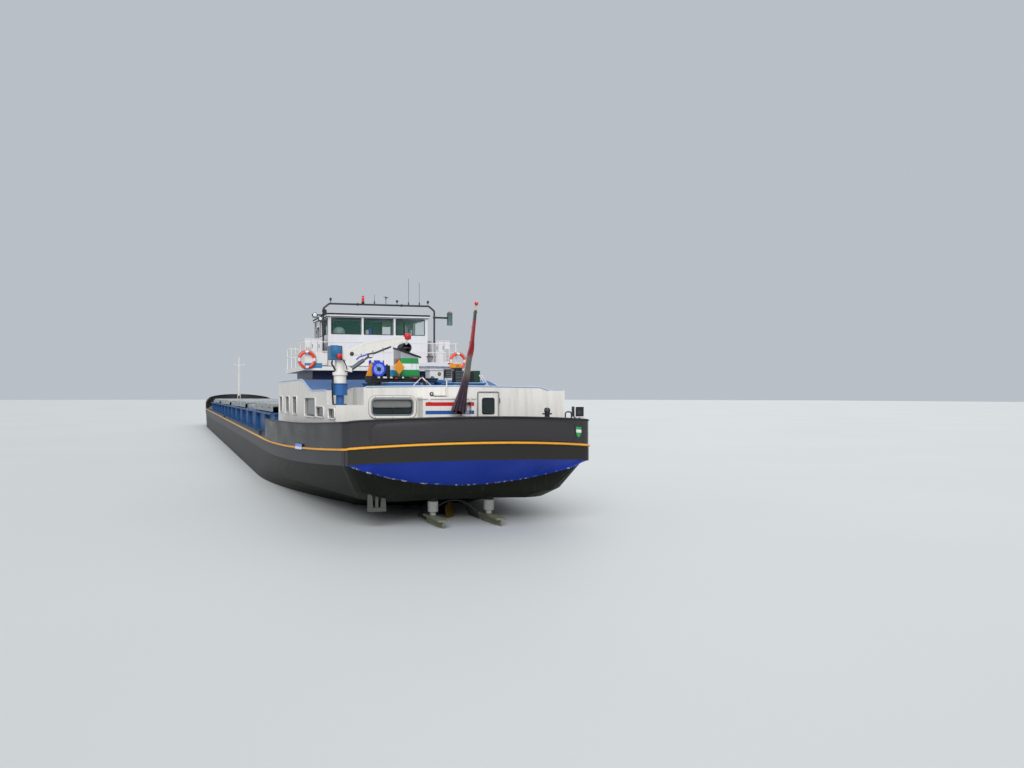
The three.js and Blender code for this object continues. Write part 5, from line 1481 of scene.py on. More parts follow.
def make_reel():
    x, y, z, radius = REEL.values()
    rims = [
        round_rim("YZ", radius - 0.0006, (y, z), at, 0.0015, (40, 8)) for at in (x + 0.0012, x + 0.0285)
    ]
    turns = [
        round_rim("YZ", reach, (y, z), x + at, 0.0022)
        for at, reach in [(0.0065 + 0.0043 * i, 0.0205 + 0.0012 * (i % 2)) for i in range(5)]
    ]
    hub = lathe([(0.0075, 0), (0.0075, 0.002), (0.0055, 0.003)], (x + 0.0002, y, z), AFT, 20)
    studs = bolts(
        [
            (x - 0.0001, y + 0.0125 * math.cos(a), z + 0.0125 * math.sin(a))
            for a in np.linspace(0.3, 5.5, 6)
        ], AFT, 0.0012
    )
    crank = tube(
        [(x - 0.0025, y, z), (x - 0.006, y + 0.004, z + 0.004), (x - 0.006, y + 0.014, z + 0.012)], 0.0012,
        8
    )
    piece(
        "reel_windings", "reel_blue", body="reel", royal=rims, rubber=turns, dark_steel=[hub, crank],
        steel=[studs]
    )
    back = panel("YZ", (0.1335, 0.191), (0.5965, 0.657), (-3.7085, -3.7045), 0.004)
    straps = [
        panel("YZ", (a, a + 0.009), (0.6475, 0.657), (-3.7165, -3.7085), 0.002) for a in (0.141, 0.174)
    ]
    wedge = slab(
        "YZ", [(0.2035, 0.5995), (0.1815, 0.5995), (0.1815, 0.645), (0.1885, 0.645)], -3.724, -3.711
    )
    foot = panel("YZ", (0.136, 0.206), (0.5575, 0.6), (-3.726, -3.7095), 0.002)
    piece("reel_frame", "reel_blue", royal=[back], cabin_white=straps, amber=[wedge], dark_steel=[foot])
    device = block((-3.735, -3.705), (0.1195, 0.1335), (0.598, 0.6375), 0.002)
    knob = lathe([(0.004, 0), (0.004, 0.004), (0.0022, 0.0055)], (-3.72, 0.1265, 0.637), UP, 12)
    white = block((-3.733, -3.705), (0.1025, 0.1185), (0.6205, 0.6385), 0.002)
    lower = block((-3.734, -3.704), (0.102, 0.119), (0.5985, 0.621), 0.002)
    ledge = panel("XY", (-3.745, -3.69), (0.094, 0.138), (0.5955, 0.599), 0.003)
    posts = [bar((-3.715, a, roof_height(a)), (-3.715, a, 0.597), 0.003) for a in (0.1, 0.131)]
    piece(
        "reel_boxes", "dark_steel", black=[device, knob, ledge], cabin_white=[white], pale_teal=[lower],
        dark_steel=posts
    )
    sign = slab(
        "YZ", [(0.093, 0.6565), (0.1138, 0.6304), (0.093, 0.6042), (0.0722, 0.6304)], -3.7625, -3.7605
    )
    post = bar((-3.7595, 0.093, roof_height(0.093)), (-3.7595, 0.093, 0.65), 0.0018)
    disc = lathe([(0.0065, 0), (0.0065, 0.0014), (0.0052, 0.002)], (-3.7598, 0.1, 0.6525), AFT, 20)
    piece("diamond_board", "yellow_paint", amber=[sign], grey=[post], red=[disc])


class BARGE_OT_reel(bpy.types.Operator):
    """Hose reel: flange rims, windings, its frame and the boxes beside it"""

    bl_idname = "barge.reel"
    bl_label = "Hose reel"

    def execute(self, context):
        make_reel()
        return {"FINISHED"}


def slatted(x, y, low, high, slats):
    """A hatch lid: a rim with a raised edge and even slats across it."""
    body = panel("XY", x, y, (low, high), 0.005, 0.001)
    rim = opening_rim("XY", x, y, -0.004, high, (0.0035, 0.003), 0.004)
    step = (y[1] - y[0] - 0.014) / slats
    rib = slab(
        "XY", rounded(x[1] - x[0] - 0.012, step * 0.5, step * 0.2, 3), high - 0.0005, high + 0.0016, 0.0005
    )
    places = [(sum(x) / 2, y[0] + 0.007 + step * (i + 0.5), 0) for i in range(slats)]
    return body, rim, copies(rib, places)


def make_roof():
    """The pipes run athwart the roof in slow waves; everything else stands on the crowned roof."""
    body, rim, ribs = slatted((-3.955, -3.86), (0.0835, 0.1896), 0.5545, 0.5715, 13)
    piece("port_hatch", "blue_paint", roof_blue=[body, ribs], rim=[rim])
    lid_body, lid_rim, lid_ribs = slatted((-3.973, -3.847), (-0.145, -0.033), 0.5696, 0.5712, 13)
    piece("skylight_slats", "blue_paint", body="roof_lid", roof_blue=[lid_body, lid_ribs], rim=[lid_rim])
    vent = lathe(
        [(0.011, 0), (0.011, 0.012), (0.017, 0.014), (0.018, 0.02), (0.012, 0.0265), (0.0001, 0.028)],
        (-3.79, -0.055, 0.5585), UP, 24
    )
    small = lathe(
        [(0.006, 0), (0.006, 0.01), (0.0105, 0.0115), (0.0105, 0.016), (0.0001, 0.02)],
        (-3.83, 0.238, 0.556), UP, 20
    )
    piece("roof_vents", "blue_paint", roof_blue=[vent, small])
    x0 = -3.785
    runs = []
    for dx, z, radius, start, stop in (
        (0.0, 0.581, 0.0036, 0.205, -0.052), (0.009, 0.5805, 0.003, 0.19, -0.03),
        (0.017, 0.581, 0.0034, 0.2, -0.045), (0.002, 0.5885, 0.003, 0.196, -0.02),
        (0.011, 0.588, 0.0034, 0.15, -0.05), (0.006, 0.5945, 0.0024, 0.2, 0.06)
    ):
        y = np.linspace(start, stop, 22)
        wave = 0.0016 * np.sin(y * 61 + dx * 400)
        runs.append(tube(np.stack([x0 + dx + wave, y, z + 0.4 * wave], -1), radius, 8, 0.002))
    saddles = [
        block((x0 - 0.004, x0 + 0.021), (y, y + 0.006), (roof_height(y) - 0.001, 0.579), 0.001)
        for y in (-0.045, -0.01, 0.025, 0.06, 0.095, 0.13, 0.165, 0.19)
    ]
    tray = panel("XY", (x0 - 0.006, x0 + 0.023), (-0.055, 0.207), (0.5755, 0.578), 0.003)
    saddles.append(tray)
    fittings = [
        bar((x0 - 0.003, y, 0.5915), (x0 - 0.003, y + long, 0.5925), 0.0036, 12)
        for y, long in ((0.147, 0.014), (0.126, 0.009), (0.172, 0.008), (0.084, 0.006))
    ]
    red = [bar((x0 - 0.004, y, 0.589), (x0 - 0.004, y + 0.008, 0.589), 0.0032, 12) for y in (0.108, 0.016)]
    magenta = bar((x0 - 0.005, 0.036, 0.59), (x0 - 0.005, 0.05, 0.59), 0.0036, 12)
    piece(
        "roof_pipes", "dark_steel", rubber=runs, dark_steel=saddles, cabin_white=fittings, red=red,
        magenta=[magenta]
    )
    case = block((-3.6, -3.545), (-0.138, -0.0805), (0.5535, 0.627), 0.004)
    port_ring = round_rim("YZ", 0.0056, (-0.119, 0.612), -3.6006, 0.0014, (24, 8))
    port_glass = lathe([(0.005, 0), (0.005, 0.0008), (0.003, 0.0012)], (-3.6, -0.119, 0.612), AFT, 20)
    lid = panel("XY", (-3.603, -3.542), (-0.141, -0.0775), (0.6255, 0.6295), 0.004)
    piece("roof_locker", "white_paint", white=[case, lid], black=[port_ring], grey=[port_glass])
    engine = block((-3.83, -3.795), (-0.126, -0.0935), (0.5585, 0.618), 0.003)
    head = block((-3.826, -3.8), (-0.122, -0.098), (0.617, 0.628), 0.003)
    fins = [
        panel("YZ", (-0.1245, -0.095), (z, z + 0.0016), (-3.8325, -3.8295), 0.0006)
        for z in np.arange(0.566, 0.615, 0.0052)
    ]
    wheel = lathe(
        [
            (0.0145, 0), (0.0145, 0.006), (0.0105, 0.0072), (0.0098, 0.0045), (0.0048, 0.0045),
            (0.0042, 0.0085), (0.002, 0.009)
        ], (-3.8, -0.148, 0.607), AFT, 28
    )
    drum = block((-3.8, -3.76), (-0.178, -0.13), (0.5585, 0.617), 0.004)
    hook = tube(
        [(-3.812, -0.11, 0.627), (-3.812, -0.104, 0.637), (-3.812, -0.114, 0.637), (-3.812, -0.117, 0.628)],
        0.0013, 8
    )
    green = block((-3.765, -3.735), (-0.217, -0.189), (0.5565, 0.62), 0.003)
    blue_low = block((-3.7, -3.66), (-0.075, -0.03), (0.5585, 0.59), 0.004)
    blue_knob = ball((-3.68, -0.062, 0.594), 0.008, 12)
    piece(
        "roof_machine", "dark_steel", black=[engine, head, drum, wheel], grey=fins, steel=[hook],
        dark_green=[green], roof_blue=[blue_low, blue_knob]
    )
    apex = (-4.0, 0.0894, 0.59)
    legs = [
        bar((-4.0, 0.122, roof_height(0.122)), apex, 0.0014, 8),
        bar((-4.0, 0.0549, roof_height(0.0549)), apex, 0.0014, 8),
        bar((-4.052, 0.086, 0.559), apex, 0.0014, 8)
    ]
    clamp = lathe([(0.003, 0), (0.0034, 0.004), (0.002, 0.007)], (-4.0, 0.0894, 0.586), UP, 12)
    line = bar((-4.0008, 0.0894, 0.5865), (-4.0595, 0.0885, 0.5605), 0.001, 6)
    piece("tripod", "white_paint", cabin_white=legs, black=[clamp, line])
    ladder = [bar((-3.9, a, 0.6), (-3.9, a - 0.028, roof_height(0.2)), 0.0022) for a in (-0.154, -0.163)]
    rungs = [
        bar((-3.9, -0.154 - d, 0.6 - 1.55 * d), (-3.9, -0.163 - d, 0.6 - 1.55 * d), 0.0012, 8)
        for d in (0.006, 0.014, 0.022)
    ]
    grating = panel("XY", (-3.93, -3.82), (-0.262, -0.206), (0.5535, 0.5625), 0.004)
    piece("roof_ladder", "white_paint", cabin_white=[*ladder, *rungs], roof_blue=[grating])


class BARGE_OT_roof(bpy.types.Operator):
    """Hatches, pipes, boxes and the tripod on the aft roof"""

    bl_idname = "barge.roof"
    bl_label = "Roof gear"

    def execute(self, context):
        make_roof()
        return {"FINISHED"}


# Crane

CRANE = {"x": -3.99, "y": 0.362, "pivot": (0.328, 0.662), "rise": 15.0}


def boom_point(along, above):
    """A point of the boom in y and z, at a distance along it and a height above its axis."""
    angle = math.radians(CRANE["rise"])
    y, z = CRANE["pivot"]
    along, above = np.asarray(along, float), np.asarray(above, float)
    return np.stack(
        [
            y - along * math.cos(angle) + above * math.sin(angle),
            z + along * math.sin(angle) + above * math.cos(angle)
        ], -1
    )


def on_boom(along, above, x):
    """The boom's points in space, at one place across it."""
    return in_plane("YZ", boom_point(along, above), x)


def make_crane():
    """The winch is laid out on the head's aft face, and the boom's fittings in the boom's own axes."""
    x, y = CRANE["x"], CRANE["y"]
    face = x - 0.024
    winch = (0.3765, 0.6685)
    drum = lathe(
        [
            (0.0168, 0), (0.0168, 0.003), (0.0145, 0.0042), (0.0145, 0.0056), (0.011, 0.0062),
            (0.0105, 0.009), (0.006, 0.0098)
        ], (face + 0.0005, *winch), AFT, 12
    )
    ribs = [
        turned_about(
            panel("YZ", (0.3755, 0.3775), (0.674, 0.6858), (face - 0.0052, face - 0.0022), 0.0004),
            (face, *winch), AHEAD, angle
        )
        for angle in range(0, 360, 40)
    ]
    cap = lathe(
        [(0.0086, 0), (0.0092, 0.003), (0.0088, 0.007), (0.006, 0.0098), (0.0022, 0.0108)],
        (face - 0.0045, 0.3705, 0.653), AFT, 24
    )
    case = block((face - 0.0015, face + 0.02), (0.3705, 0.3975), (0.6775, 0.6885), 0.003)
    down = tube(
        [
            (face - 0.002, 0.366, 0.6505), (face - 0.006, 0.358, 0.641), (face - 0.004, 0.349, 0.626),
            (x - 0.018, 0.343, 0.612)
        ], 0.0016, 8
    )
    side_pipes = [
        tube(
            [
                (x - 0.01 + d, 0.388, 0.6405), (x - 0.01 + d, 0.3905, 0.63), (x - 0.012 + d, 0.382, 0.6165),
                (x - 0.012 + d, 0.379, 0.609)
            ], 0.0015, 8
        )
        for d in (0.0, 0.006, 0.012)
    ]
    shade = bolts([(face - 0.0002, a, b) for a in (0.364, 0.394) for b in (0.6465, 0.683)], AFT, 0.0016)
    piece(
        "crane_winch", "winch_paint", body="crane_head", teal=[drum, case], pale_teal=ribs, red=[cap],
        rubber=[down, *side_pipes], steel=[shade]
    )
    bushes = [
        lathe(
            [(0.0068, 0), (0.0068, 0.0016), (0.0045, 0.0024)], (x + side * 0.0198, *CRANE["pivot"]),
            (side, 0, 0), 20
        )
        for side in (-1, 1)
    ]
    piece("crane_pin_caps", "dark_steel", body="crane_head", dark_steel=bushes)
    lip_along = [0.0, 0.058, 0.11, 0.172]
    top = [
        tube(on_boom(lip_along, [0.0117, 0.0208, 0.017, 0.0118], x + side * 0.0106), 0.0013, 8, 0.002)
        for side in (-1, 1)
    ]
    low_along = [0.0, 0.03, 0.07, 0.12, 0.172]
    below = np.interp(low_along, [-0.009, 0.07, 0.172], [-0.006, -0.012, -0.004])
    low = [tube(on_boom(low_along, below, x + side * 0.0106), 0.0011, 8, 0.002) for side in (-1, 1)]
    tip = on_boom([0.2], [0.003], x)[0]
    cover = ball(tip + (0, 0.001, 0.005), 0.0128, 18, 0.9)
    skirt = lathe([(0.0118, 0), (0.0128, 0.004), (0.0126, 0.009)], tip + (0, 0.001, -0.004), UP, 18)
    hook = tube(
        [
            tip + (0, 0.006, -0.012), tip + (0, 0.0085, -0.018), tip + (0, 0.004, -0.021),
            tip + (0, 0.0005, -0.016)
        ], 0.0014, 8
    )
    sheave = lathe([(0.0045, -0.002), (0.0035, 0), (0.0045, 0.002)], tip + (0, 0.0035, -0.0125), AHEAD, 18)
    blue_pipe = tube(
        on_boom([0.012, 0.022, 0.04, 0.055], [-0.022, -0.016, -0.0155, -0.0142], x - 0.0115), 0.0022, 8
    )
    black_pipes = [
        tube(
            on_boom(
                [0.052, 0.075, 0.1, 0.135], np.array([-0.0142, -0.0155, -0.0125, -0.0085]) - d,
                x - 0.0115 + d
            ), 0.0014, 8
        )
        for d in (0.0, 0.0032)
    ]
    clips = [
        slab(
            "YZ", boom_point([a, a + 0.003, a + 0.003, a], [-0.019, -0.019, -0.007, -0.007]), x - 0.0132,
            x - 0.0098
        )
        for a in (0.03, 0.07, 0.105)
    ]
    piece(
        "boom_fittings", "white_paint", body="boom", boom=[*top, *low], red=[cover, skirt],
        cabin_white=[hook, sheave], royal=[blue_pipe], rubber=black_pipes, grey=clips
    )
    low_pipes = [
        tube(
            [
                (x + d, 0.387, 0.5795), (x + d, 0.3895, 0.568), (x + d, 0.3885, 0.53),
                (x + d, 0.3865, 0.5005)
            ], 0.0016, 8
        )
        for d in (-0.016, -0.01, -0.004)
    ]
    ring = round_rim("XY", 0.0242, (x, y), 0.5665, 0.0016, (32, 8))
    foot = lathe([(0.0215, 0), (0.0215, 0.003), (0.014, 0.0045)], (x, y, 0.4988), UP, 24)
    studs = bolts(
        [(x + 0.018 * math.cos(a), y + 0.018 * math.sin(a), 0.502) for a in np.arange(8) * math.pi / 4], UP
    )
    piece("pedestal_fittings", "blue_paint", rubber=low_pipes, roof_blue=[ring, foot], steel=[studs])


class BARGE_OT_crane(bpy.types.Operator):
    """Winch face, pipes, boom plates, the tip's cover and the pedestal's fittings"""

    bl_idname = "barge.crane"
    bl_label = "Crane fittings"

    def execute(self, context):
        make_crane()
        return {"FINISHED"}


# Wheelhouse

RUBBER = (0.0026, 0.0026)
CABIN = {"aft": -3.16, "fore": -2.8, "half": 0.227, "chamfer": 0.05}


def cabin_outline(drawn_in):
    """The wheelhouse in plan, drawn in by a distance: a rectangle with its two fore corners cut."""
    aft, fore, half = CABIN["aft"] + drawn_in, CABIN["fore"] - drawn_in, CABIN["half"] - drawn_in
    cut = CABIN["chamfer"] - 0.6 * drawn_in
    return np.array(
        [
            (aft, -half), (fore - cut, -half), (fore, cut - half), (fore, half - cut), (fore - cut, half),
            (aft, half)
        ]
    )


SIDES = (("port", lambda shape: shape), ("starboard", mirrored))


def make_wheelhouse():
    high = (0.797, 0.866)
    centres = (-0.146, 0.0, 0.146)
    rear = [
        opening_rim("YZ", (y - 0.0665, y + 0.0665), high, 0.001, -3.1602, RUBBER, 0.0025) for y in centres
    ]
    front = [
        opening_rim("YZ", (y * 0.78 - 0.048, y * 0.78 + 0.048), high, 0.001, -2.7998, RUBBER, 0.0025)
        for y in centres
    ]
    sides = [
        both(opening_rim("XZ", x, high, 0.001, 0.2272, RUBBER, 0.0025))
        for x in ((-3.145, -2.982), (-2.89, -2.858))
    ]
    trim = slab("XY", inset(cabin_outline(-0.008), -0.0008), 0.8793, 0.8866, 0.0006)
    drip = slab("XY", inset(cabin_outline(-0.008), -0.0003), 0.8722, 0.8738, 0.0004)
    piece("wheelhouse_gaskets", "black_trim", rubber=[*rear, *front, *sides, trim], grey=[drip])
    arms, blades = [], []
    wiper_rows = (-0.114, 0.0, 0.114)
    for y in wiper_rows:
        arms.append(bar((-2.7975, y, 0.8685), (-2.7945, y + 0.016, 0.832), 0.0009, 6))
        blades.append(bar((-2.7955, y + 0.016, 0.812), (-2.7955, y + 0.016, 0.856), 0.0011, 6))
    motors = [block((-2.8, -2.794), (y - 0.005, y + 0.005), (0.8665, 0.8712), 0.001) for y in wiper_rows]
    piece("wipers", "black_trim", black=[*arms, *blades, *motors])
    # Painted shade: a tall dark teal cabinet that fills the wheelhouse's view with the dark of its inside.
    cabinet = block((-3.05, -3.0), (-0.05, 0.18), (0.6555, 0.8635), 0.006)
    seat = ball((-3.11, 0.168, 0.806), 0.028, 20, 0.95)
    column = bar((-3.11, 0.168, 0.656), (-3.11, 0.168, 0.79), 0.005)
    screen_rows = (-0.105, -0.062, 0.02, 0.062)
    screens = [
        turned_about(
            panel("YZ", (y, y + 0.036), (0.795, 0.823), (-2.862, -2.858), 0.003), (-2.86, y, 0.8),
            (0, 1, 0), -12
        )
        for y in screen_rows
    ]
    stands = [bar((-2.856, y + 0.018, 0.768), (-2.857, y + 0.018, 0.797), 0.003) for y in screen_rows]
    shelf = block((-3.1, -3.02), (-0.06, 0.05), (0.6555, 0.802), 0.004)
    lamp = tube(
        [(-3.06, 0.0, 0.8015), (-3.06, 0.0, 0.825), (-3.052, -0.012, 0.838), (-3.045, -0.024, 0.832)],
        0.0018, 8
    )
    books = [
        block((-3.09, -3.06), (y, y + 0.011), (0.8015, 0.8015 + h), 0.001)
        for y, h in ((0.014, 0.028), (0.027, 0.022))
    ]
    curtain_rail = bar((-3.148, -0.212, 0.868), (-3.148, 0.212, 0.868), 0.0014)
    posts = [bar((-3.0, y, 0.6555), (-3.0, y, 0.8715), 0.0032) for y in (-0.115, -0.168)]
    piece(
        "cabin_inside", "console_grey", teal_dark=[cabinet], seat_grey=[seat], dark_steel=[column, *stands],
        black=[*screens, *posts, lamp, curtain_rail], grey=[shelf], royal=[books[0]], cabin_white=[books[1]]
    )
    pane = panel("XZ", (-2.9585, -2.9115), (0.7895, 0.8425), (0.2225, 0.2238), 0.0062)
    gasket = frame_round("XZ", (0.0465, 0.0525), (-2.935, 0.816), 0.2272, (0.0026, 0.002), 0.0062)
    hinges = [bar((-2.9025, 0.2272, z), (-2.9025, 0.2272, z + 0.016), 0.0016) for z in (0.69, 0.815)]
    for side, turn in SIDES:
        piece(
            f"door_glass_{side}", "window_glass", body=f"{side}_door", glass=[turn(pane)],
            rubber=[turn(gasket)], steel=[*(turn(hinge) for hinge in hinges)]
        )
    for side, turn in SIDES:
        lid = panel("XY", (-3.1655, -2.9885), (0.2455, 0.3315), (0.7718, 0.7748), 0.004)
        seams = [
            panel("YZ", (y, y + 0.0016), (0.66, 0.768), (-3.1648, -3.1636), 0.0005) for y in (0.274, 0.303)
        ]
        grips = [bar((-3.1665, y, 0.735), (-3.1665, y, 0.75), 0.0011, 8) for y in (0.269, 0.298)]
        louvres = [
            panel("YZ", (0.309, 0.326), (z, z + 0.0022), (-3.1652, -3.1636), 0.0008)
            for z in np.arange(0.685, 0.735, 0.006)
        ]
        piece(
            f"wing_locker_fittings_{side}", "white_paint", cabin_white=[turn(lid)],
            grey=[*(turn(s) for s in seams + louvres)], dark_steel=[*(turn(grip) for grip in grips)]
        )


class BARGE_OT_wheelhouse(bpy.types.Operator):
    """Gaskets, roof trim, wipers and what shows through the glass"""

    bl_idname = "barge.wheelhouse"
    bl_label = "Wheelhouse fittings"

    def execute(self, context):
        make_wheelhouse()
        return {"FINISHED"}


def make_portal():
    x, top = -3.178, 0.925
    y, shoulder, inner = 0.252, 0.904, 0.226
    frame_line = [
        (x, y, 0.6505), (x, y, shoulder), (x, inner, top), (x, -inner, top), (x, -y, shoulder),
        (x, -y, 0.6505)
    ]
    main = tube(frame_line, 0.0041, 14, 0.005)
    arms = [
        bar((x, y - 0.002, 0.875), (x, 0.303, 0.875), 0.003, 12),
        bar((x, -0.25, 0.875), (x, -0.318, 0.875), 0.003, 12)
    ]
    feet = [both(panel("XY", (x - 0.009, x + 0.009), (y - 0.009, y + 0.009), (0.6552, 0.6578), 0.002))]
    feet += [
        both(
            bolts(
                [(x + a, y + b, 0.6578) for a in (-0.0065, 0.0065) for b in (-0.0065, 0.0065)], UP, 0.0011
            )
        )
    ]
    strap = both(block((x, -3.1575), (0.2215, 0.2545), (0.7, 0.704), 0.001))
    made = piece("portal_pipe", "white_paint", dark_steel=[main, *arms, *feet, strap], sharp=60)
    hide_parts("portal_frame")

    def stem(y, height, radius=0.0014):
        return bar((x, y, top), (x, y, top + height), radius, 8)

    red = lathe([(0.0052, 0), (0.0062, 0.003), (0.0062, 0.018), (0.0045, 0.023)], (x, 0.076, 0.937), UP, 18)
    red_foot = lathe(
        [(0.0058, 0), (0.0066, 0.002), (0.0066, 0.0072), (0.0052, 0.009)], (x, 0.076, 0.929), UP, 18
    )
    red_cap = lathe([(0.0056, 0), (0.0056, 0.0016), (0.002, 0.003)], (x, 0.076, 0.9596), UP, 18)
    cross = [
        bar((x, -0.04, 0.958), (x, -0.017, 0.961), 0.0013, 8),
        bar((x, -0.028, 0.95), (x, -0.028, 0.962), 0.0028, 10)
    ]
    knob = ball((x, -0.079, 0.943), 0.0056, 14)
    whips = [
        bar((x, y, top), (x, y, reach), 0.0008, 6)
        for y, reach in ((-0.132, 1.045), (-0.182, 1.03), (0.024, 0.968))
    ]
    bases = [
        lathe([(0.003, 0), (0.003, 0.01), (0.0012, 0.014)], (x, y, top + 0.003), UP, 12)
        for y in (-0.132, -0.182, 0.024)
    ]
    stems = [stem(0.22, 0.0142), stem(-0.222, 0.0132), stem(-0.028, 0.0255), stem(-0.079, 0.014)]
    bend_lamps = [
        lathe([(0.0046, 0), (0.005, 0.002), (0.005, 0.009), (0.0032, 0.012)], (x, y, z), UP, 16)
        for y, z in ((0.22, 0.9385), (-0.222, 0.9375))
    ]
    clamps = [
        lathe([(0.0056, -0.004), (0.006, -0.003), (0.006, 0.003), (0.0056, 0.004)], (x, y, z), axis, 14)
        for y, z, axis in (
            (0.252, 0.7, UP), (-0.252, 0.7, UP), (0.252, 0.876, UP), (-0.252, 0.876, UP),
            (0.1, 0.925, (0, 1, 0)), (-0.1, 0.925, (0, 1, 0))
        )
    ]
    piece(
        "mast_lamps", "dark_steel", glow_red=[red], black=[red_foot, red_cap, knob, *bend_lamps, *cross],
        dark_steel=[*whips, *bases, *clamps, *stems]
    )
    lights = []
    for y, z, size in ((0.265, 0.8585, 0.0078), (0.289, 0.8745, 0.0092)):
        shell = lathe(
            [
                (size * 0.45, 0.014), (size * 0.8, 0.011), (size, 0.002), (size + 0.001, 0.0),
                (size + 0.001, -0.0025), (size - 0.0008, -0.003)
            ], (x - 0.001, y, z), AHEAD, 24
        )
        glass = lathe(
            [(size - 0.001, 0), (size - 0.0012, 0.001), (size * 0.5, 0.0022)], (x - 0.0035, y, z), AFT, 24
        )
        yoke = tube(
            [
                (x, y - size - 0.002, z), (x, y - size - 0.002, z - size - 0.002),
                (x, y + size + 0.002, z - size - 0.002), (x, y + size + 0.002, z)
            ], 0.0011, 8
        )
        lights += painted("black", shell, yoke) + painted("lamp_glass", glass)
    horn = lathe(
        [(0.003, 0), (0.0034, 0.012), (0.0055, 0.02), (0.0095, 0.026), (0.0105, 0.0275)],
        (x + 0.004, 0.252, 0.8885), AFT, 20
    )
    clamp = block((x - 0.003, x + 0.006), (0.2845, 0.2935), (0.8695, 0.8765), 0.001)
    piece("floodlights", "dark_steel", lights + painted("black", horn, clamp))
    lantern = lathe(
        [
            (0.0128, 0), (0.0132, 0.002), (0.0122, 0.004), (0.0122, 0.05), (0.0132, 0.0515),
            (0.0132, 0.0545), (0.01, 0.057)
        ], (x, -0.325, 0.8425), UP, 24
    )
    cap = lathe([(0.0078, 0), (0.0082, 0.003), (0.0045, 0.0055)], (x, -0.325, 0.899), UP, 20)
    bracket = block((x - 0.005, x + 0.005), (-0.316, -0.296), (0.871, 0.879), 0.001)
    ends = bar((x, -0.258, 0.8755), (x, -0.294, 0.8755), 0.0042, 12)
    piece("side_lantern", "green_paint", olive_box=[lantern], red=[cap], black=[bracket, ends])


class BARGE_OT_portal(bpy.types.Operator):
    """Lamps, antennas and lanterns on the portal frame"""

    bl_idname = "barge.portal"
    bl_label = "Portal lamps"

    def execute(self, context):
        make_portal()
        return {"FINISHED"}


def make_rail():
    x, ring, thick = -3.2463, 0.032, 0.0066
    for side, name in ((1, "port"), (-1, "starboard")):
        centre = (side * 0.336, 0.679)
        bands = []
        for turn in range(4):
            angle = np.radians(np.linspace(-12, 12, 7) + 90 * turn)
            arc = ring * np.stack([np.cos(angle), np.sin(angle)], -1) + centre
            bands.append(sweep(in_plane("YZ", arc, x), circle(thick, 16), up=AHEAD))
        angle = np.arange(64) * 2 * np.pi / 64
        slack = 0.0386 + 0.0016 * np.abs(np.sin(2 * angle))
        line = np.stack([slack * np.cos(angle), slack * np.sin(angle)], -1) + centre
        grab = sweep(in_plane("YZ", line, x), circle(0.001, 6), up=AHEAD, closed=True)
        y = side * 0.33
        hook = tube(
            [(-3.235, y, 0.706), (-3.247, y, 0.7065), (-3.2535, y, 0.7035), (-3.2535, y, 0.711)], 0.0014, 8,
            0.003
        )
        piece(f"lifebuoy_fittings_{name}", "buoy_orange", cabin_white=bands, rope=[grab], steel=[hook])
    board = panel("YZ", (0.2466, 0.343), (0.6565, 0.71), (-3.2396, -3.238), 0.003)
    stripe = panel("YZ", (0.27, 0.3445), (0.6445, 0.6655), (-3.2406, -3.2394), 0.001, 0.0003)
    holes = bolts([(-3.2396, y, z) for y in (0.252, 0.2585, 0.339) for z in (0.662, 0.704)], AFT, 0.0012)
    piece("rail_board_port", "white_paint", white=[board], pale_teal=[stripe], dark_steel=[holes])
    toe = panel("YZ", (-0.345, -0.06), (0.655, 0.6705), (-3.262, -3.2598), 0.002)
    lip = bar((-3.2609, -0.344, 0.6705), (-3.2609, -0.061, 0.6705), 0.0013, 8)
    arms = [
        panel("XZ", (-3.2612, -3.2395), (0.6552, 0.659), (y, y + 0.003), 0.0006)
        for y in (-0.34, -0.27, -0.2, -0.13, -0.066)
    ]
    sign = panel("YZ", (-0.345, -0.292), (0.649, 0.6685), (-3.2652, -3.2622), 0.002)
    sign_end = panel("YZ", (-0.3065, -0.284), (0.6655, 0.6705), (-3.2648, -3.2622), 0.001)
    hoop = tube(
        [
            (-3.2609, -0.2384, 0.6705), (-3.2609, -0.2384, 0.7135), (-3.2609, -0.2753, 0.7135),
            (-3.2609, -0.2753, 0.6705)
        ], 0.0017, 8, 0.006
    )
    piece(
        "rail_board_starboard", "white_paint", cabin_white=[toe, lip, hoop], grey=arms, amber=[sign],
        red=[sign_end]
    )
    collars = []
    for y in (-0.33, -0.23, -0.11, 0.0, 0.11, 0.23, 0.33):
        collars.append(lathe([(0.0046, 0), (0.0046, 0.0016), (0.0028, 0.003)], (-3.235, y, 0.6551), UP, 12))
    knuckles = [
        ball((-3.235, y, z), 0.0028, 8) for y in (-0.23, -0.11, 0.0, 0.11, 0.23) for z in (0.715, 0.755)
    ]
    piece("rail_collars", "white_paint", cabin_white=[*collars, *knuckles])
    nosing = tube([(-3.2398, -0.3448, 0.6535), (-3.2398, 0.3448, 0.6535)], 0.0016, 8)
    gutter = panel("YZ", (-0.34, 0.34), (0.5925, 0.5955), (-3.2408, -3.2388), 0.0008)
    piece("deck_nosing", "white_paint", grey=[nosing, gutter])


class BARGE_OT_rail(bpy.types.Operator):
    """Bands, lines and hooks of the lifebuoys, and the boards along the upper deck's edge"""

    bl_idname = "barge.rail"
    bl_label = "Rail fittings"

    def execute(self, context):
        make_rail()
        return {"FINISHED"}


# Flag: furled along its staff, red at the hoist, grey-white in the middle and dark at the foot

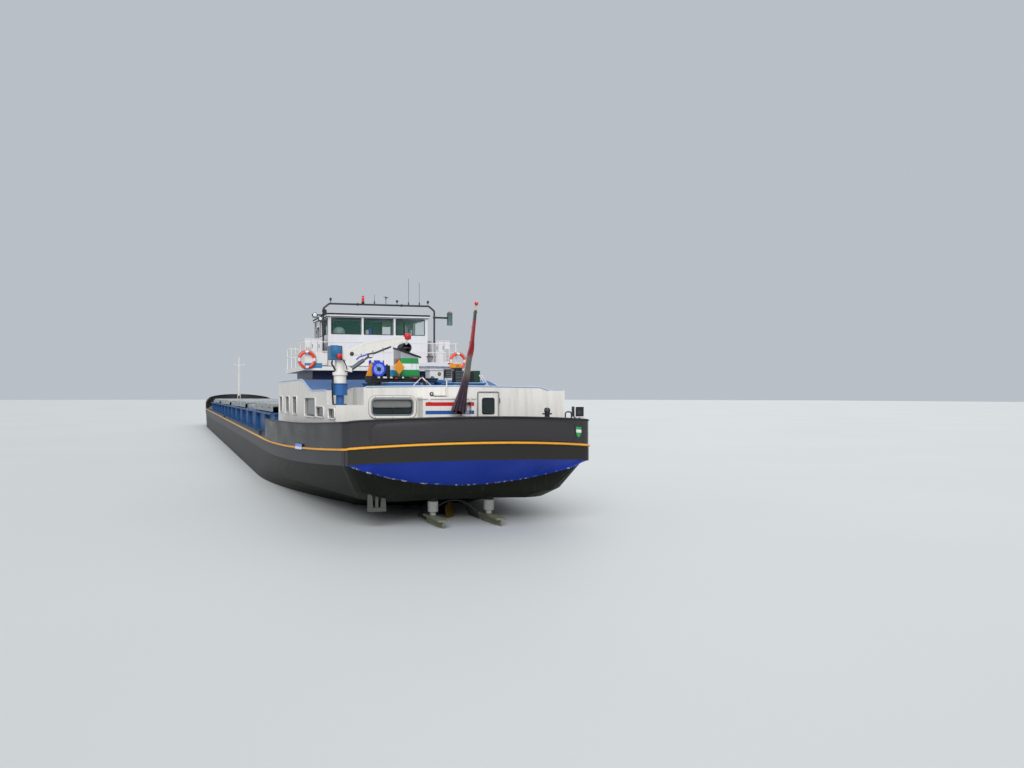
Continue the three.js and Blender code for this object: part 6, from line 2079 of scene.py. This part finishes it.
STAFF = {"foot": (-4.125, 0.465), "top": (-4.252, 0.802)}
FLAG_ROWS = [
    # z, starboard edge y, port edge y
    (0.781, 0.009, 0.0145),
    (0.76, 0.007, 0.014),
    (0.72, 0.005, 0.0125),
    (0.69, 0.0025, 0.012),
    (0.668, -0.003, 0.015),
    (0.64, 0.0000, 0.02),
    (0.615, 0.0005, 0.019),
    (0.584, -0.0016, 0.022),
    (0.56, -0.001, 0.025),
    (0.535, -0.002, 0.029),
    (0.515, -0.004, 0.034),
    (0.495, -0.008, 0.04),
    (0.478, -0.0105, 0.0435),
]
FLAG_PLEATS = 5
FLAG_FLAT = (0.14, 0.33)
FLAG_AFT = 0.0112


def flag_cloth():
    """A pleated strip. At height z it spans from its starboard to its port edge, and its depth is a sine of
    five pleats whose amplitude sqrt(L^2 - w^2) / (4 n) keeps the length across at L. The rows lie just aft
    of the staff."""
    rows = np.array(FLAG_ROWS)
    z = np.linspace(rows[0, 0], rows[-1, 0], 90)
    low, high = (smooth_rows(z, rows[:, 0], rows[:, i]) for i in (1, 2))
    width = high - low
    length = FLAG_FLAT[0] * 0.94
    depth = np.sqrt(np.maximum(length**2 - width**2, 0)) / (4 * FLAG_PLEATS)
    u = np.linspace(0, 1, 121)
    drop = (rows[0, 0] - z)[:, None]
    phase = 2 * np.pi * FLAG_PLEATS * u[None] + 2.2 * drop + 0.5 * np.sin(26 * drop)
    sway = 0.12 * np.sin(9 * drop + 7 * u[None])
    staff_x = np.interp(z, [STAFF["foot"][1], STAFF["top"][1]], [STAFF["foot"][0], STAFF["top"][0]])
    x = staff_x[:, None] - FLAG_AFT + depth[:, None] * np.sin(phase)
    y = low[:, None] + width[:, None] * (u[None] + sway * u[None] * (1 - u[None]))
    face = np.stack([x, y, np.broadcast_to(z[:, None], x.shape)], -1)
    hem = face[-1, :, :] + np.stack([np.zeros_like(u), np.zeros_like(u), 0.006 * np.sin(5 * np.pi * u)], -1)
    face[-1] = hem
    along = np.gradient(face, axis=1)
    down = np.gradient(face, axis=0)
    normal = unit(np.cross(along, down))
    return np.concatenate([face + 0.0003 * normal, (face - 0.0003 * normal)[:, ::-1]], axis=1)


def smooth_rows(z, heights, values):
    """Values between rows by linear interpolation, then a running mean over nine samples."""
    line = np.interp(-z, -heights, values)
    padded = np.pad(line, 4, mode="edge")
    return np.convolve(padded, np.ones(9) / 9, mode="valid")


def make_flag():
    cloth = piece("flag_cloth", "flag_cloth", flag=[skin(flag_cloth())], sharp=80)
    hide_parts("flag")
    rings = []
    for z in (0.776, 0.735, 0.69, 0.64, 0.6):
        x = float(np.interp(z, [STAFF["foot"][1], STAFF["top"][1]], [STAFF["foot"][0], STAFF["top"][0]]))
        rings.append(round_rim("XY", 0.0062, (x - 0.0012, 0.007), z, 0.0008, (20, 6), (1.05, 1)))
    cleat = bar((-4.137, 0.0155, 0.478), (-4.137, 0.0155, 0.496), 0.0012, 8)
    horn = bar((-4.137, 0.0115, 0.487), (-4.137, 0.0155, 0.487), 0.0014, 8)
    collar = lathe([(0.009, 0), (0.009, 0.006), (0.0075, 0.009)], (-4.127, 0.007, 0.455), UP, 20)
    piece("staff_fittings", "dark_steel", rope=rings, steel=[cleat, horn, collar])


class BARGE_OT_flag(bpy.types.Operator):
    """The furled flag, its lashings and the staff's cleat"""

    bl_idname = "barge.flag"
    bl_label = "Flag"

    def execute(self, context):
        make_flag()
        return {"FINISHED"}


# Hold and foredeck

HOLD = {"from": -2.53, "to": 3.35}


def make_hold():
    for number in range(1, 5):
        low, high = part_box(f"hatch_cover_high_{number}")
        ends = [
            panel(
                "XZ", (x, x + 0.012), (high.z - 0.012, high.z - 0.0005), (low.y - 0.0004, high.y + 0.0004),
                0.002
            )
            for x in (low.x + 0.0005, high.x - 0.0125)
        ]
        grips = [
            both(
                tube(
                    [
                        (x, 0.394, 0.465), (x, 0.4, 0.466), (x + 0.024, 0.4, 0.466),
                        (x + 0.024, 0.394, 0.465)
                    ], 0.0014, 8, 0.003
                )
            )
            for x in np.linspace(low.x + 0.08, high.x - 0.1, 3)
        ]
        seams = [
            both(panel("XZ", (x, x + 0.003), (0.453, 0.4735), (0.3932, 0.3948), 0.0006))
            for x in np.linspace(low.x + 0.13, high.x - 0.13, 5)
        ]
        piece(
            f"cover_trim_high_{number}", "cover_metal", body=f"cover_{number}", cover=[*ends, *seams],
            dark_steel=grips
        )
        low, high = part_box(f"hatch_cover_low_{number}")
        lugs = [
            both(block((x, x + 0.014), (0.366, 0.3742), (0.4415, 0.452), 0.001))
            for x in np.linspace(low.x + 0.1, high.x - 0.11, 3)
        ]
        piece(f"cover_trim_low_{number}", "cover_metal", steel=lugs)
    rail = both(tube([(HOLD["from"], 0.4005, 0.4315), (HOLD["to"], 0.4005, 0.4315)], 0.0026, 8))
    cleat = block((-0.009, 0.009), (0.4008, 0.4045), (0.4335, 0.4395), 0.001)
    cleats = copies(cleat, [(x, 0, 0) for x in np.linspace(-2.4, 3.2, 25)])
    wedges = copies(
        slab("YZ", [(0.3755, 0.345), (0.398, 0.345), (0.3985, 0.349), (0.3755, 0.36)], -0.0045, 0.0045),
        [(x, 0, 0) for x in HOLD["from"] + 0.01 + 5.86 / 13 * (np.arange(13) + 0.5)]
    )
    piece("coaming_fittings", "blue_paint", roof_blue=[rail, both(wedges)], steel=[both(cleats)])


class BARGE_OT_hold(bpy.types.Operator):
    """Rims and handles of the hatch covers, and the coaming's rail and cleats"""

    bl_idname = "barge.hold"
    bl_label = "Hold fittings"

    def execute(self, context):
        make_hold()
        return {"FINISHED"}


def chain(path, link=0.011):
    """Stadium-shaped links along a line, every other one turned a quarter about it."""
    path = np.asarray(path, float)
    lengths = np.concatenate([[0], np.cumsum(np.linalg.norm(np.diff(path, axis=0), axis=1))])
    count = int(lengths[-1] / (link * 0.72))
    at = (np.arange(count) + 0.5) * lengths[-1] / count
    centre = np.stack([np.interp(at, lengths, column) for column in path.T], -1)
    ahead = np.stack([np.interp(at + 1e-4, lengths, column) for column in path.T], -1)
    tangent = unit(ahead - np.stack([np.interp(at - 1e-4, lengths, column) for column in path.T], -1))
    outline = rounded(link, link * 0.62, link * 0.3, 4)
    links = []
    for index, (middle, along) in enumerate(zip(centre, tangent)):
        side = unit(np.cross(along, UP))
        over = np.cross(side, along)
        across = side if index % 2 else over
        loop = middle + outline[:, :1] * along + outline[:, 1:] * across
        links.append(sweep(loop, circle(link * 0.11, 5), up=np.cross(along, across), closed=True))
    return links


def make_foredeck():
    deck = float(deck_edge(4.0, 0.3)) - DECK_DROP
    links = []
    for side in (-1, 1):
        y = side * 0.06
        run = [
            (3.953, y, 0.452), (3.972, y, 0.4605), (3.99, y, 0.4515), (4.01, y * 1.2, 0.44),
            (4.03, side * 0.12, deck + 0.014), (4.036, side * 0.2, deck + 0.006)
        ]
        links += chain(bent(run, 0.008))
    pipes = [
        lathe(
            [
                (0.016, -0.002), (0.016, 0.006), (0.0135, 0.009), (0.0095, 0.009), (0.0085, 0.004),
                (0.0085, -0.002)
            ], (4.036, side * 0.207, deck), UP, 24, closed=True
        )
        for side in (-1, 1)
    ]
    piece("anchor_chains", "dark_steel", dark_steel=links, topside=pipes)
    door_deck = 0.378
    door = panel("YZ", (-0.05, 0.02), (door_deck + 0.012, 0.47), (3.4335, 3.4362), 0.006)
    frame_bar = frame_round(
        "YZ", (0.077, 0.087), (-0.015, (door_deck + 0.012 + 0.47) / 2), 3.434, (0.003, 0.003), 0.008
    )
    handle = tube(
        [(3.433, 0.008, 0.425), (3.429, 0.008, 0.427), (3.429, 0.008, 0.437), (3.433, 0.008, 0.439)],
        0.0012, 8
    )
    light_places = (3.49, 3.55, 3.61)
    lights = [
        both(frame_round("XZ", (0.036, 0.022), (x, 0.448), 0.1706, (0.0026, 0.003), 0.008))
        for x in light_places
    ]
    panes = [
        both(panel("XZ", (x - 0.017, x + 0.017), (0.438, 0.458), (0.1698, 0.1712), 0.007))
        for x in light_places
    ]
    piece(
        "bow_store_fittings", "white_paint", white=[door], grey=[frame_bar, *lights], steel=[handle],
        glass=panes
    )
    hatch_deck = float(deck_edge(3.78, 0.3)) - DECK_DROP
    body, rim, ribs = slatted((3.735, 3.815), (0.1, 0.18), hatch_deck - 0.001, hatch_deck + 0.014, 7)
    piece("bow_hatch", "blue_paint", roof_blue=[body, ribs], rim=[rim])
    rollers = []
    for side in (-1, 1):
        for x in (3.92, 4.1):
            place = along_side(side * length_at(x), -0.016)
            base = float(deck_edge(*place)) - DECK_DROP
            rollers.append(
                lathe(
                    [
                        (0.009, 0), (0.009, 0.012), (0.0065, 0.016), (0.0065, 0.034), (0.0095, 0.037),
                        (0.0095, 0.041), (0.004, 0.043)
                    ], (*place, base), UP, 20
                )
            )
    piece("bow_rollers", "dark_steel", dark_steel=rollers)
    lamps = [
        lathe([(0.0052, 0), (0.0062, 0.002), (0.0062, 0.0125), (0.0045, 0.015)], at, UP, 18)
        for at in ((3.889, 0, 0.979), (3.88, 0.066, 0.938), (3.88, -0.066, 0.938))
    ]
    bands = [
        lathe([(0.0098, 0), (0.0104, 0.001), (0.0104, 0.006), (0.0096, 0.007)], (3.88, 0, z), UP, 20)
        for z in (0.56, 0.7)
    ]
    ladder = [bar((3.8695, -0.012, z), (3.8695, 0.012, z), 0.0011, 6) for z in np.arange(0.58, 0.92, 0.03)]
    stiles = [bar((3.8695, y, 0.57), (3.8695, y, 0.93), 0.0012, 6) for y in (-0.012, 0.012)]
    piece("mast_fittings", "white_paint", body="mast", lamp_glass=lamps, white=[*bands, *ladder, *stiles])


class BARGE_OT_foredeck(bpy.types.Operator):
    """Anchor chains, hatches, store door, rollers and mast lamps on the foredeck"""

    bl_idname = "barge.foredeck"
    bl_label = "Foredeck fittings"

    def execute(self, context):
        make_foredeck()
        return {"FINISHED"}


class BARGE_PT_panel(bpy.types.Panel):
    """The barge's steps, in the order in which they run"""

    bl_idname = "BARGE_PT_panel"
    bl_label = "River barge"
    bl_space_type = "VIEW_3D"
    bl_region_type = "UI"
    bl_category = "Barge"

    def draw(self, context):
        for operator in OPERATORS:
            self.layout.operator(operator.bl_idname)


OPERATORS = (
    BARGE_OT_stage,
    BARGE_OT_paint,
    BARGE_OT_topsides,
    BARGE_OT_quarter,
    BARGE_OT_house,
    BARGE_OT_funnel,
    BARGE_OT_reel,
    BARGE_OT_roof,
    BARGE_OT_crane,
    BARGE_OT_wheelhouse,
    BARGE_OT_portal,
    BARGE_OT_rail,
    BARGE_OT_flag,
    BARGE_OT_hold,
    BARGE_OT_foredeck,
)
GROUPS = {"barge_paints": BargePaints, "barge_stage": BargeStage}


def register():
    for group in GROUPS.values():
        bpy.utils.register_class(group)
    for name, group in GROUPS.items():
        setattr(bpy.types.Scene, name, PointerProperty(type=group))
    for operator in OPERATORS:
        bpy.utils.register_class(operator)
    bpy.utils.register_class(BARGE_PT_panel)


def unregister():
    bpy.utils.unregister_class(BARGE_PT_panel)
    for operator in reversed(OPERATORS):
        bpy.utils.unregister_class(operator)
    for name, group in GROUPS.items():
        delattr(bpy.types.Scene, name)
        bpy.utils.unregister_class(group)


def main():
    register()
    for operator in OPERATORS:
        category, name = operator.bl_idname.split(".")
        getattr(getattr(bpy.ops, category), name)()
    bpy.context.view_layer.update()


if __name__ == "__main__":
    main()
